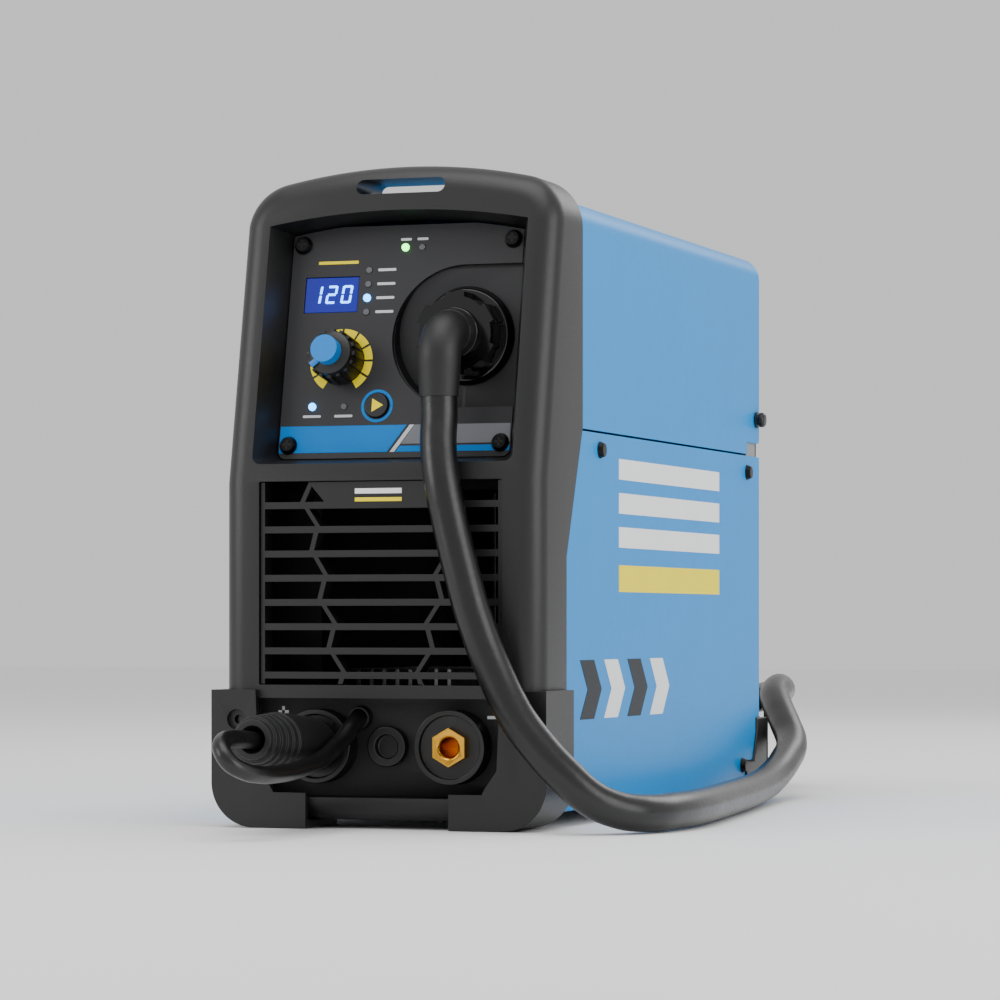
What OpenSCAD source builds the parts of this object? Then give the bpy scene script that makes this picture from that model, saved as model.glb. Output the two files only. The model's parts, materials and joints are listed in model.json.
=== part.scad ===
/* [Case] */
// Width of the moulded front
body_w = 157; // [150:1:190]
// Length from the front plane to the rear edge of the side sheets
body_l = 386; // [330:1:470]
// Height of the front's crown above the base
crown_z = 302; // [296:1:330]
// Height of the lid's flat top above the base
lid_top = 287; // [284:1:292]
// Height of the seam between the lid and the side sheets
seam_z = 179; // [174:1:184]
// Width across the painted sheets
sheet_w = 153; // [146:1:155]
// Thickness of the painted sheets
sheet_t = 1.2; // [0.8:0.1:2]
// Outside radius of the lid's long bends
bend_r = 12; // [6:1:18]
// Distance from the base down to the soles of the boots
foot_h = 7.5; // [6:0.5:12]

/* [Front moulding] */
// Angle that the control face leans back
lean = 11.5; // [8:0.5:14]
// Height at which the face starts to lean
kink_z = 153.5; // [148:0.5:158]
// Depth of the front's lower side walls
bezel_d = 38; // [32:1:44]
// Depth of the front's upper side walls
bezel_top_d = 62.5; // [58:0.5:70]
// Wall thickness of the front
bezel_t = 3; // [2:0.25:4]
// Radius of the crown's arch
crown_r = 280; // [240:5:340]
// Radius of the front's upper corners
crown_corner_r = 23; // [16:1:28]
// Radius of the front's lower corners
rail_corner_r = 18; // [12:1:22]
// Length of the strap slot
slot_w = 44; // [36:1:56]
// Height of the strap slot
slot_h = 7; // [5:0.5:8]

/* [Control window] */
// Width of the window at the face
win_w = 128; // [120:1:132]
// Width of the control panel
panel_w = 115; // [108:1:118]
// Distance up the face from its kink to the panel's lower edge
panel_v = 14; // [12:1:18]
// Height of the panel at its corners, along the face
panel_h = 109; // [104:1:112]
// Rise of the arched top of the panel and its window
arch_rise = 6; // [4:1:8]
// Depth of the panel behind the face
panel_d = 15; // [12:1:18]
// Thickness of the control panel
panel_t = 2; // [1.5:0.5:3]
// Radius of the pocket's rounded end
pocket_r = 34; // [32:1:36]

/* [Grille] */
// Width of the grille opening
grille_w = 119.5; // [100:0.5:124]
// Height of the grille's lower edge
grille_z = 58.8; // [56:0.2:62]
// Height of the grille opening
grille_h = 94.4; // [90:0.2:96]
// Number of slats
slats = 8; // [5:1:9]
// Distance from slat to slat
slat_pitch = 11.25; // [10:0.05:12]
// Thickness of a slat
slat_t = 3.2; // [2:0.1:4]

/* [Connectors] */
// Distance from the middle to each output socket
socket_x = 33; // [30:1:38]
// Height of the output sockets
socket_z = 30.3; // [29:0.1:32]
// Outside diameter of an output socket's flange
socket_d = 34.5; // [32:0.5:38]
// Bore of an output socket's brass insert
socket_bore = 9.2; // [9:0.1:9.6]
// Depth of the connector wall behind the front plane
wall_d = 14; // [12:1:18]
// Sideways place of the gun adaptor
gun_x = 30; // [28:0.5:32]
// Height of the gun adaptor
gun_z = 221.5; // [218:0.5:224]
// Diameter of the gun hose
hose_d = 17; // [14:0.5:18]
// Diameter of the polarity lead
lead_d = 8; // [6:0.5:9]

/* [Wire compartment] */
// Outside diameter of the wire spool
spool_d = 100; // [90:1:102]
// Width of the wire spool
spool_w = 45; // [40:1:46]
// Diameter of the spool's axle
axle_d = 16; // [12:0.5:18]
// Outside diameter of the drive roll
roll_d = 30; // [26:0.5:32]
// Thickness of the shelf and the inner plates
plate_t = 1.5; // [1:0.1:2]

/* [Cooling fan] */
// Outside diameter of the fan's blades
fan_d = 86; // [70:1:88]
// Radial clearance of each running fit
run_fit = 0.06; // [0.03:0.01:0.1]

/* [Torch] */
// Length of the torch handle
handle_l = 130; // [110:1:150]
// Diameter of the torch handle
handle_d = 32; // [28:1:34]
// Diameter of the swan neck
neck_d = 12; // [10:0.5:14]
// Outside diameter of the gas nozzle
nozzle_d = 20; // [18:0.5:22]

/* [Hidden] */
$fn = 48;

fy = -body_l / 2;
ry = body_l / 2;
floor_z = -foot_h;
half = body_w / 2;
sheet_x = sheet_w / 2;
gap = 0.4;
seam_gap = 1;
over = 1;
blue = "deepskyblue";
moulded = [0.2, 0.2, 0.21];

rail_z = -3.8;
rail_top = 6.8;
recess_top = 52.7;
recess_w = 130;
lid_gap = 1;
lid_y = fy + bezel_top_d + lid_gap;
wall_y = fy + wall_d;
bulk_y = fy + 50;
shelf_z = seam_z - 5;
slant_h = 61;

crown_cz = crown_z - crown_r;
corner_cx = half - crown_corner_r;
corner_cz = crown_cz + sqrt(pow(crown_r - crown_corner_r, 2) - pow(corner_cx, 2));

// Places on the control face: the x axis runs across, z up the slope and y into the machine.
module leaned() translate([0, fy, kink_z]) rotate([-lean, 0, 0]) children();

// The same on the outer face of the control panel.
module on_panel(x, v) leaned() translate([x, panel_d, v]) children();

module bar_y(d, l) rotate([-90, 0, 0]) cylinder(d = d, h = l);
module bar_x(d, l) rotate([0, 90, 0]) cylinder(d = d, h = l);

// Extrudes an outline in x and z towards +y, from y to y + l.
module along_y(y, l) translate([0, y + l, 0]) rotate([90, 0, 0]) linear_extrude(l) children();

// Extrudes an outline in y and z towards +x, from x to x + l.
module along_x(x, l) translate([x, 0, 0]) rotate([90, 0, 90]) linear_extrude(l) children();

module rounded(w, h, r) {
    translate([-w / 2 + r, -h / 2]) square([w - 2 * r, h]);
    translate([-w / 2, -h / 2 + r]) square([w, h - 2 * r]);
    for (x = [-1, 1], y = [-1, 1]) translate([x * (w / 2 - r), y * (h / 2 - r)]) circle(r);
}

// Front view of the case: arched crown, rounded corners, taken in by t all round.
module front_outline(t) {
    wedge = 1.4;
    translate([-half + t, rail_z + rail_corner_r])
        square([2 * (half - t), corner_cz - rail_z - rail_corner_r]);
    translate([-corner_cx, rail_z + t]) square([2 * corner_cx, rail_corner_r]);
    for (s = [-1, 1]) {
        translate([s * corner_cx, corner_cz]) circle(crown_corner_r - t, $fn = 64);
        translate([s * (half - rail_corner_r), rail_z + rail_corner_r])
            circle(rail_corner_r - t, $fn = 64);
    }
    intersection() {
        translate([0, crown_cz]) circle(crown_r - t, $fn = 240);
        polygon([[0, crown_cz], [corner_cx * wedge, crown_cz + (corner_cz - crown_cz) * wedge],
            [-corner_cx * wedge, crown_cz + (corner_cz - crown_cz) * wedge]]);
    }
}

// Side view of the front, set back by t at the face.
module side_profile(t, d_low, d_top) {
    top = crown_z + over;
    polygon([[fy + t, rail_z - over], [fy + t, kink_z],
        [fy + t + (top - kink_z) * tan(lean), top], [fy + d_top, top], [fy + d_top, seam_z],
        [fy + d_low, seam_z - slant_h], [fy + d_low, rail_z - over]]);
}

// The window's outline on the face, w wide from v up.
module window_outline(w, v, top) {
    corner = 4;
    arch_r = (pow(w / 2, 2) + pow(arch_rise, 2)) / (2 * arch_rise);
    translate([-w / 2 + corner, v]) square([w - 2 * corner, corner]);
    translate([-w / 2, v + corner]) square([w, top - v - corner]);
    for (s = [-1, 1]) translate([s * (w / 2 - corner), v + corner]) circle(corner);
    intersection() {
        translate([0, top + arch_rise - arch_r]) circle(arch_r, $fn = 200);
        translate([-w / 2, v + corner]) square([w, top - v]);
    }
}

panel_top = panel_v + panel_h;
win_v = panel_v - 6;

module front_bezel() color(moulded) {
    wall = 2.5;
    taper = (win_w - panel_w) / 2;
    difference() {
        union() {
            difference() {
                intersection() {
                    along_y(fy, bezel_top_d) front_outline(0);
                    along_x(-half, body_w) side_profile(0, bezel_d, bezel_top_d);
                }
                intersection() {
                    along_y(fy, bezel_top_d + over) union() {
                        inner = min(half - bezel_t, corner_cx + crown_corner_r - bezel_t);
                        translate([-inner, rail_top]) square([2 * inner, lid_top - 4 - rail_top]);
                    }
                    along_x(-half, body_w)
                        side_profile(bezel_t, bezel_d + over, bezel_top_d + over);
                }
            }
            intersection() {
                leaned() translate([0, panel_d + panel_t, 0]) rotate([90, 0, 0])
                    linear_extrude(panel_d + panel_t - over)
                    window_outline(win_w + 2 * wall, win_v - wall, panel_top + wall);
                along_y(fy, bezel_top_d) front_outline(0);
            }
        }
        leaned() translate([0, panel_d + panel_t + over, 0]) rotate([90, 0, 0])
            linear_extrude(panel_d + panel_t + 2 * over)
            window_outline(panel_w + 2 * gap, panel_v - gap, panel_top + gap);
        leaned() for (s = [-1, 1]) scale([s, 1, 1]) translate([0, 0, win_v + taper])
            linear_extrude(panel_top - win_v - taper) polygon([[panel_w / 2 - over, -over],
                [win_w / 2 + taper / panel_d, -over], [win_w / 2, 0],
                [panel_w / 2, panel_d], [panel_w / 2 - over, panel_d]]);
        leaned() translate([-panel_w / 2, 0, 0]) rotate([90, 0, 90]) linear_extrude(panel_w)
            polygon([[-over, win_v], [0, win_v], [panel_d, panel_v], [panel_d, panel_v + over],
                [-over, panel_v + over]]);
        translate([-grille_w / 2, fy - over, grille_z]) cube([grille_w, bezel_d, grille_h]);
        along_y(fy - over, bezel_d + 2 * over) polygon([[-recess_w / 2, rail_top],
            [recess_w / 2, rail_top], [recess_w / 2, recess_top], [-recess_w / 2, recess_top]]);
        along_y(fy, bezel_top_d + over) translate([0, lid_top + 1.3 + slot_h / 2])
            rounded(slot_w, slot_h, slot_h / 2 - 0.1);
        for (s = [-1, 1]) translate([s * boot_hole_x, fy - over, boot_hole_z]) bar_y(4, 10);
    }
}

// Slats with the pair of zig-zag ribs and the name plate, all in one moulding.
module grille() color(moulded) {
    d = 9;
    rib = 2.4;
    y = fy + 1.5;
    top = grille_z + grille_h;
    first = top - 9.6;
    zig = [[34, top], [38.5, first], [31, first - slat_pitch], [34, first - 2 * slat_pitch],
        [27, first - 3 * slat_pitch], [30, first - 4 * slat_pitch], [22.5, first - 5 * slat_pitch],
        [25.5, first - 6 * slat_pitch], [18, first - 7 * slat_pitch], [20, grille_z]];
    intersection() {
        translate([-grille_w / 2 + gap, fy, grille_z + gap])
            cube([grille_w - 2 * gap, d + 2, grille_h - 2 * gap]);
        union() {
            for (i = [0 : slats - 1]) translate([-grille_w / 2, y, first - i * slat_pitch - slat_t])
                cube([grille_w, d, slat_t]);
            for (s = [-1, 1], i = [0 : len(zig) - 2]) along_y(y, d) scale([s, 1]) {
                a = zig[i];
                b = zig[i + 1];
                polygon([[a[0] - rib / 2, a[1]], [a[0] + rib / 2, a[1]], [b[0] + rib / 2, b[1]],
                    [b[0] - rib / 2, b[1]]]);
            }
            for (s = [-1, 1]) translate([s * (grille_w / 2 - 1.2) - 1.2, y, grille_z])
                cube([2.4, d, grille_h]);
            along_y(y, 3) polygon([[-36, top], [36, top], [25, first - slat_t],
                [-25, first - slat_t]]);
        }
    }
}

boot_hole_x = 69.5;
boot_hole_z = 42.7;

// Front view of a front boot, outer side to +x.
module boot_front_outline() difference() {
    out = half + 3.7;
    r = 21;
    polygon([[35, floor_z], [out, floor_z], [out, 56.5], [60, 56.5], [58.3, 20], [53, 12.5],
        [51, 9], [35, 9]]);
    difference() {
        translate([out - r, floor_z - over]) square(r + over);
        translate([out - r, floor_z + r]) circle(r, $fn = 64);
    }
}

module boot_front(s) color(moulded) scale([s, 1, 1]) difference() {
    along_y(fy - 3.7, bezel_d + 3) boot_front_outline();
    along_y(fy, bezel_d + 3) front_outline(0);
    translate([boot_hole_x, fy - 5, boot_hole_z]) bar_y(9.4, 4);
    translate([boot_hole_x, fy - 5, boot_hole_z]) bar_y(4, 10);
}
module boot_front_right() boot_front(1);
module boot_front_left() boot_front(-1);

boot_rear_l = 13;
boot_rear_w = 34;

// A rear boot wraps the corner: sole, thin outer wall in the sheet's step, block behind.
module boot_rear(s) color(moulded) scale([s, 1, 1]) difference() {
    out = sheet_x + 1;
    g = [gap, -gap];
    along_x(out - boot_rear_w, boot_rear_w) polygon([[boot_steps[0][0] + gap, floor_z],
        [ry + boot_rear_l, floor_z], [ry + boot_rear_l, boot_steps[3][1] - gap],
        boot_steps[3] + g, boot_steps[2] + g, boot_steps[1] + g, boot_steps[0] + g]);
    translate([0, ry - 60, 0]) cube([sheet_x - sheet_t - gap / 2, 59.6, 60]);
}
module boot_rear_right() boot_rear(1);
module boot_rear_left() boot_rear(-1);

// A tray with upturned sides.
module base_pan() color("dimgray") {
    x = sheet_x - sheet_t - gap;
    y = fy + bezel_d + gap;
    l = ry - 3 - gap - y;
    difference() {
        translate([-x, y, 0]) cube([2 * x, l, 14]);
        translate([-x + plate_t, y - over, plate_t]) cube([2 * (x - plate_t), l + 2 * over, 14]);
    }
}

// Step in the sheets' rear lower corners that leaves room for the rear boots.
boot_steps = [[ry - 29, 13.3], [ry - 14, 13.3], [ry - 7.5, 28], [ry - 7.5, 36.3]];

module side_sheet(s) color(blue) along_x(s > 0 ? sheet_x - sheet_t : -sheet_x, sheet_t) {
    low = fy + bezel_d + gap;
    top = fy + bezel_top_d + gap;
    cut = seam_gap * (bezel_top_d - bezel_d) / slant_h;
    difference() {
        polygon(concat([[low, 0], [boot_steps[0][0], 0]], boot_steps, [[ry, boot_steps[3][1]],
            [ry, seam_z - seam_gap], [top - cut, seam_z - seam_gap], [low, seam_z - slant_h]]));
        for (p = screw_places) translate(p) circle(d = 4.2);
    }
}
screw_places = [[fy + 95.5, seam_z - 9], [ry - 25, seam_z - 10], [ry - 35, 11]];
module side_sheet_right() side_sheet(1);
module side_sheet_left() side_sheet(-1);

module case_screws() color("black") for (s = [-1, 1], p = screw_places)
    translate([s * sheet_x, p[0], p[1]]) scale([s, 1, 1]) {
        rotate([0, 90, 0]) cylinder(d1 = 8.4, d2 = 6.4, h = 2.6);
        translate([-9, 0, 0]) bar_x(4, 9 + 0.5);
    }

// Shelf between the inverter and the wire compartment, with its long flanges turned down.
module shelf() color("gray") {
    x = sheet_x - sheet_t - gap;
    difference() {
        translate([-x, bulk_y + 2, shelf_z - 14]) cube([2 * x, ry - bulk_y - 6, 14]);
        translate([-x + plate_t, bulk_y, shelf_z - 14 - plate_t])
            cube([2 * (x - plate_t), ry - bulk_y, 14]);
    }
}

// Upright sheet behind the control face, open for the gun adaptor and the control wiring.
module front_bulkhead() color("gray") {
    x = sheet_x - sheet_t - gap;
    difference() {
        translate([-x, bulk_y, rail_top + 8]) cube([2 * x, plate_t, lid_top - 24 - rail_top]);
        translate([gun_x, bulk_y - over, gun_z]) bar_y(30, 4);
        translate([-30, bulk_y - over, gun_z]) bar_y(20, 4);
        translate([-48, bulk_y - over, 30]) cube([96, 4, 120]);
        for (p = screw_panel) on_panel(p[0], p[1]) bar_y(screw_shank + 2, screw_l);
    }
}

// Open-fronted box behind the recess; its wall carries the output sockets.
module connector_wall() color([0.12, 0.12, 0.13]) difference() {
    y = fy + bezel_t + gap;
    translate([-recess_w / 2 - 2.5, y, rail_top])
        cube([recess_w + 5, wall_y + 2.5 - y, grille_z - 1 - rail_top]);
    translate([-recess_w / 2, y - over, rail_top - over])
        cube([recess_w, wall_y - y + over, recess_top - rail_top + over]);
    for (x = [-socket_x, socket_x]) translate([x, wall_y - over, socket_z]) bar_y(26 + 0.2, 5);
    translate([0, wall_y - over, socket_z]) bar_y(16.2, 5);
    translate([lead_x, wall_y - over, lead_z]) bar_y(10.2, 5);
}
lead_x = -14;
lead_z = 43.5;

module socket_bodies() color("black") for (x = [-socket_x, socket_x])
    translate([x, 0, socket_z]) difference() {
        union() {
            translate([0, wall_y - 11, 0]) bar_y(socket_d, 11);
            translate([0, wall_y, 0]) bar_y(26, 16);
        }
        translate([0, wall_y - 11 - over, 0]) bar_y(socket_d - 5, over + 3);
        translate([0, wall_y - 20, 0]) bar_y(14, 60);
    }

module socket_inserts() color("gold") for (x = [-socket_x, socket_x])
    translate([x, 0, socket_z]) difference() {
        union() {
            translate([0, wall_y - 11, 0]) bar_y(14, 34);
            translate([0, wall_y - 12, 0]) rotate([-90, 90, 0]) cylinder(d = 18.2, h = 4, $fn = 6);
        }
        translate([0, wall_y - 12 - over, 0]) bar_y(socket_bore, 28);
        translate([0, wall_y - 12, 0]) rotate([-90, 0, 0])
            translate([0, 0, -0.01]) cylinder(d1 = 11.4, d2 = socket_bore, h = 1.1);
    }

module blanking_plug() color([0.12, 0.12, 0.13]) translate([0, 0, socket_z]) difference() {
    union() {
        translate([0, wall_y - 5, 0]) bar_y(19, 5);
        translate([0, wall_y, 0]) bar_y(16, 5);
    }
    translate([0, wall_y - 5 - over, 0]) bar_y(11, 5);
}

module lead_grommet() color("black") translate([lead_x, 0, lead_z]) difference() {
    union() {
        translate([0, wall_y - 4, 0]) rotate([-90, 0, 0]) cylinder(d1 = 10.2, d2 = 11.4, h = 4);
        translate([0, wall_y, 0]) bar_y(10, 2.5);
        translate([0, wall_y + 2.5, 0]) bar_y(15, 2);
    }
    translate([0, wall_y - 4 - over, 0]) bar_y(lead_d, 20);
}

// Rubber sleeve and brass pin of the polarity plug, standing in the left socket.
plug_tilt = 4;
module polarity_plug() color("black") translate([-socket_x, wall_y - 13.2, socket_z])
    rotate([180 - plug_tilt, 0, 0]) difference() {
        union() {
            translate([0, -12, 0]) bar_y(7, 13);
            rotate([-90, 0, 0]) cylinder(d1 = 24, d2 = 27, h = 8);
            translate([0, 8, 0]) bar_y(27, 34);
            translate([0, 42, 0]) rotate([-90, 0, 0]) cylinder(d1 = 27, d2 = 18, h = 32);
            for (i = [0 : 4]) translate([0, 46 + 5.6 * i, 0]) rotate([-90, 0, 0])
                cylinder(d1 = 27.6 - 1.4 * i, d2 = 27 - 1.4 * i, h = 2.6);
        }
        translate([0, 46, 0]) bar_y(lead_d, 40);
        translate([0, 66, 0]) rotate([-90, 0, 0]) cylinder(d1 = lead_d, d2 = 12.4, h = 8.01);
    }

// Sweeps a tube of diameter d along points p. Each ring stands square to the path.
function unit(v) = v / norm(v);
function way(p, i) = i == 0 ? unit(p[1] - p[0])
    : i == len(p) - 1 ? unit(p[i] - p[i - 1]) : unit(p[i + 1] - p[i - 1]);
function frames(p, i = 0, u = [0, 0, 0]) = i == len(p) ? [] : let (
    w = way(p, i),
    seed = i > 0 ? u : abs(w[2]) < 0.8 ? [0, 0, 1] : [1, 0, 0],
    a = unit(seed - w * (seed * w))) concat([[a, cross(w, a)]], frames(p, i + 1, a));
module swept(p, d, n) {
    f = frames(p);
    k = len(p);
    rings = [for (i = [0 : k - 1], j = [0 : n - 1])
        p[i] + d / 2 * (f[i][0] * cos(360 * j / n) + f[i][1] * sin(360 * j / n))];
    sides = [for (i = [0 : k - 2], j = [0 : n - 1]) let (
        a = i * n + j, b = i * n + (j + 1) % n) [a, a + n, b + n, b]];
    first = [for (j = [0 : n - 1]) j];
    last = [for (j = [0 : n - 1]) k * n - 1 - j];
    polyhedron(rings, concat(sides, [first, last]));
}

lead_route = [[-14, -179, 43.5], [-14, -186, 42], [-14, -193, 39], [-14.5, -200, 35],
    [-15, -208, 31.5], [-14, -231, 25.5], [-14, -254, 22.5], [-14.5, -278, 21], [-17, -300, 21.5],
    [-20, -309, 23.5], [-24, -314, 27], [-28, -312, 32], [-31, -304, 35.5], [-32.5, -293, 36.5],
    [-33, -278, 36], [-33, -262, 35]];
module polarity_lead() color("black") swept(lead_route, lead_d, 8);

hose_route = [[30, -195, 191], [30.5, -196, 182], [31.5, -200, 168], [34.5, -203.5, 152],
    [38.5, -204.5, 134],
    [44.5, -206, 112], [51.5, -207, 89], [61, -208, 66], [72, -210, 46], [84, -211, 31],
    [96, -210, 18.5], [106, -206, 9], [116, -198, 3.5], [125, -185, 1.5], [131, -160, 1.5],
    [132, -125, 1.5], [127, -81, 1.5], [121, -33, 1.5], [114, 20, 1.5], [106, 77, 2],
    [99, 133, 5], [96, 174, 13], [92, 204, 22], [83, 224, 32], [75, 240, 40], [68, 258, 46.5],
    [64, 280, 50], [58, 308, 49], [46, 335, 46], [28, 361, 43], [7, 382, 42]];
hose_tail = [[-155, 316, 1.5], [-155, 290, 1.5], [-155, 265, 4], [-155, 240, 8]];
module gun_hose() color("black") {
    swept(hose_route, hose_d, 10);
    swept(hose_tail, hose_d, 10);
}

coil_x = -60;
coil_y = 315;
coil_r = 95;
module gun_hose_coil() color("black") translate([coil_x, coil_y, floor_z]) rotate_extrude($fn = 96)
    translate([coil_r - hose_d / 2, 0]) square([hose_d, 58]);

// Panel with its arched top, cut away on the right for the gun pocket.
pocket_v = 68;
module control_panel() color([0.29, 0.29, 0.3]) difference() {
    leaned() translate([0, panel_d + panel_t, 0]) rotate([90, 0, 0])
        linear_extrude(panel_t) difference() {
            window_outline(panel_w, panel_v, panel_top - gap);
            translate([gun_x, pocket_v + 4]) circle(pocket_r + gap, $fn = 96);
            translate([gun_x, pocket_v + 4 - pocket_r - gap]) square(2 * pocket_r + 2 * gap);
            for (p = screw_panel) translate(p) circle(d = 4.2);
            translate(knob_place) circle(d = 7);
            translate(button_place) circle(d = 12);
            translate(display_place) square([27, 17.5], center = true);
            for (p = led_places) translate(p) circle(d = 3.2);
        }
}
screw_panel = [[-52.5, 20.5], [52.5, 20.5], [-52.5, 118], [52.5, 118]];
knob_place = [-29, 61];
button_place = [-9.5, 39];
display_place = [-36.5, 93.5];
led_places = [[-18.3, 105], [-18.3, 98.2], [-18.3, 91.4], [-18.3, 84.6], [-0.8, 115.5],
    [7.5, 115.5], [-41.8, 39], [-26, 39]];

screw_shank = 4;
screw_l = 9;
module panel_screws() color("black") for (p = screw_panel) on_panel(p[0], p[1]) {
    rotate([90, 0, 0]) cylinder(d1 = 9, d2 = 6.5, h = 2.6);
    translate([0, -0.5, 0]) bar_y(screw_shank, screw_l);
}

module display_window() color("black") on_panel(display_place[0], display_place[1])
    translate([-13.3, 0.3, -8.5]) cube([26.6, 4, 17]);

module led_lenses() color("white") for (p = led_places) on_panel(p[0], p[1])
    translate([0, -0.6, 0]) bar_y(3, 5);

module control_knob() color("black") on_panel(knob_place[0], knob_place[1]) {
    rotate([90, 0, 0]) translate([0, 0, 1]) {
        cylinder(d1 = 23, d2 = 20.5, h = 15);
        translate([0, 0, 15]) cylinder(d1 = 20.5, d2 = 14, h = 1.5);
        translate([0, 0, 16]) cylinder(d = 13, h = 6.5);
        for (i = [0 : 15]) rotate(i * 22.5) translate([9.6, -0.9, 0]) cube([2.2, 1.8, 13]);
        rotate(-50) translate([-1.5, -10.4, 13]) cube([3, 9, 4.2]);
    }
    translate([0, -1.5, 0]) bar_y(6, 8);
}

module mode_button() color("steelblue") on_panel(button_place[0], button_place[1]) {
    translate([0, -1.6, 0]) bar_y(11.4, 5);
    translate([0, 3.4, 0]) bar_y(7, 3);
}

// Box behind the panel's cut-away with an upright floor for the gun adaptor.
pocket_y = fy + 38;
module gun_pocket() color(moulded) difference() {
    intersection() {
        translate([gun_x - pocket_r - 2.5, fy + 15, gun_z - pocket_r - 3])
            cube([panel_w / 2 - gun_x + pocket_r + 2.5 - 0.5, 26, 2 * pocket_r + 6]);
        leaned() translate([-100, panel_d + panel_t + gap, 0]) cube([200, 60, 130]);
        union() {
            translate([gun_x, fy, gun_z]) bar_y(2 * pocket_r + 5, 60);
            translate([gun_x, fy, gun_z - pocket_r - 2.5]) cube([60, 60, 2 * pocket_r + 5]);
        }
    }
    translate([gun_x, fy, gun_z]) bar_y(2 * pocket_r, 38);
    translate([gun_x, fy, gun_z - pocket_r]) cube([60, 38, 2 * pocket_r]);
    translate([gun_x, fy, gun_z]) bar_y(28.2, 80);
}

// Bulkhead ring and barrel; the gun's own union nut turns on the barrel.
nut_bore = 24;
module gun_adaptor() color([0.1, 0.1, 0.11]) translate([gun_x, 0, gun_z]) difference() {
    union() {
        translate([0, pocket_y - 5, 0]) rotate([-90, 0, 0]) cylinder(d1 = 43, d2 = 47, h = 5);
        translate([0, pocket_y, 0]) bar_y(28, 18);
        translate([0, pocket_y - 21, 0]) bar_y(nut_bore - 2 * run_fit, 17);
    }
    translate([0, pocket_y - 22, 0]) bar_y(7, 60);
}

module gun_lock_nut() color([0.1, 0.1, 0.11]) translate([gun_x, pocket_y - 18.5, gun_z])
    difference() {
        union() {
            bar_y(35, 13);
            for (i = [0 : 5]) rotate([0, i * 60, 0]) translate([-4.5, 0, 14]) cube([9, 13, 5.2]);
        }
        translate([0, -over, 0]) bar_y(nut_bore, 20);
    }

// Right-angled rubber boot between the nut and the hose.
elbow_r = 14;
module gun_elbow() color("black") translate([gun_x, pocket_y - 21, gun_z]) {
    turn_y = -19;
    rotate([90, 0, 0]) cylinder(d1 = 23, d2 = 21, h = -turn_y - elbow_r + 0.4);
    translate([0, turn_y + elbow_r, -elbow_r]) rotate([0, 90, 0])
        rotate([0, 0, 180]) rotate_extrude(angle = 90, $fn = 64)
        translate([elbow_r, 0]) intersection() {
            circle(d = 20);
            translate([-elbow_r + 0.1, -20]) square(40);
        }
    translate([0, turn_y, -elbow_r - 16.5]) cylinder(d1 = hose_d + 1, d2 = 20, h = 16.5);
}

// Rear wall with a ring of louvres in front of the fan.
fan_x = 0;
fan_z = 92;
switch_x = 38;
switch_z = 208;
gland_x = -34;
inlet_x = 2;
module rear_panel() color(moulded) {
    y = ry - 3;
    x = sheet_x - sheet_t - gap;
    difference() {
        translate([-x, y, plate_t]) cube([2 * x, 2.5, lid_top - 6 - plate_t]);
        for (i = [0 : 7]) translate([-38, y - over, fan_z - 40 + i * 10.5]) cube([76, 5, 5.5]);
        translate([switch_x - 10, y - over, switch_z - 14]) cube([20, 5, 28]);
        translate([gland_x, y - over, switch_z]) bar_y(16.2, 5);
        translate([inlet_x, y - over, switch_z]) bar_y(10.2, 5);
        for (s = [-1, 1]) translate([s * sheet_x, y, lid_top - 6]) rotate([0, 45, 0])
            cube([16, 10, 16], center = true);
    }
}

module switch_bezel() color("black") translate([switch_x, ry - 3, switch_z]) difference() {
    union() {
        translate([-9.9, -12, -13.9]) cube([19.8, 14.5, 27.8]);
        translate([-12, 2.5, -16]) cube([24, 1.6, 32]);
    }
    translate([-7.5, -9, -12]) cube([15, 20, 24]);
    translate([-8.9, -1, 0]) bar_x(3, 17.8);
}

// Rocker with its pivot across, rocked half-way out to its upper end.
module switch_rocker() color("red") translate([switch_x, ry - 4, switch_z]) {
    rotate([12, 0, 0]) difference() {
        translate([-7, -2, -10.6]) cube([14, 7.5, 21.2]);
        translate([-8, 28.6, 0]) bar_x(48, 16);
    }
    translate([-8.6, 0, 0]) bar_x(3 - 2 * run_fit, 17.2);
}

module mains_gland() color("black") translate([gland_x, ry - 3, switch_z]) difference() {
    union() {
        translate([0, -6, 0]) bar_y(16, 12);
        translate([0, -6, 0]) rotate([-90, 0, 0]) cylinder(d = 22, h = 6, $fn = 6);
        translate([0, 2.5, 0]) rotate([-90, 0, 0]) cylinder(d = 22, h = 5, $fn = 6);
        translate([0, 7.5, 0]) rotate([-90, 0, 0]) cylinder(d1 = 19, d2 = 15, h = 9);
    }
    translate([0, -7, 0]) bar_y(9, 30);
}

inlet_r = 3.2;
module gas_inlet() color("gold") translate([inlet_x, ry - 3, switch_z]) difference() {
    union() {
        translate([0, -6, 0]) bar_y(10, 9);
        translate([0, 2.5, 0]) rotate([-90, 0, 0]) cylinder(d = 15, h = 5, $fn = 6);
        translate([0, 7, 0]) bar_y(2 * inlet_r, 17);
        for (i = [0 : 1]) translate([0, 12 + i * 5, 0]) rotate([-90, 0, 0])
            cylinder(d1 = 2 * inlet_r + 1.6, d2 = 2 * inlet_r, h = 3);
    }
    translate([0, -7, 0]) bar_y(3, 40);
}

module fan_frame() color("black") translate([fan_x, ry - 3 - 26, fan_z]) difference() {
    translate([-46, 0, -46]) cube([92, 25.5, 92]);
    translate([0, -over, 0]) difference() {
        bar_y(fan_d + 3, 30);
        bar_y(32, 30);
        translate([-60, 20, -3]) cube([120, 8, 6]);
        translate([-3, 20, -60]) cube([6, 8, 120]);
    }
    translate([0, -over, 0]) bar_y(33, 19);
    translate([0, -over, 0]) bar_y(5, 24);
}

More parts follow.
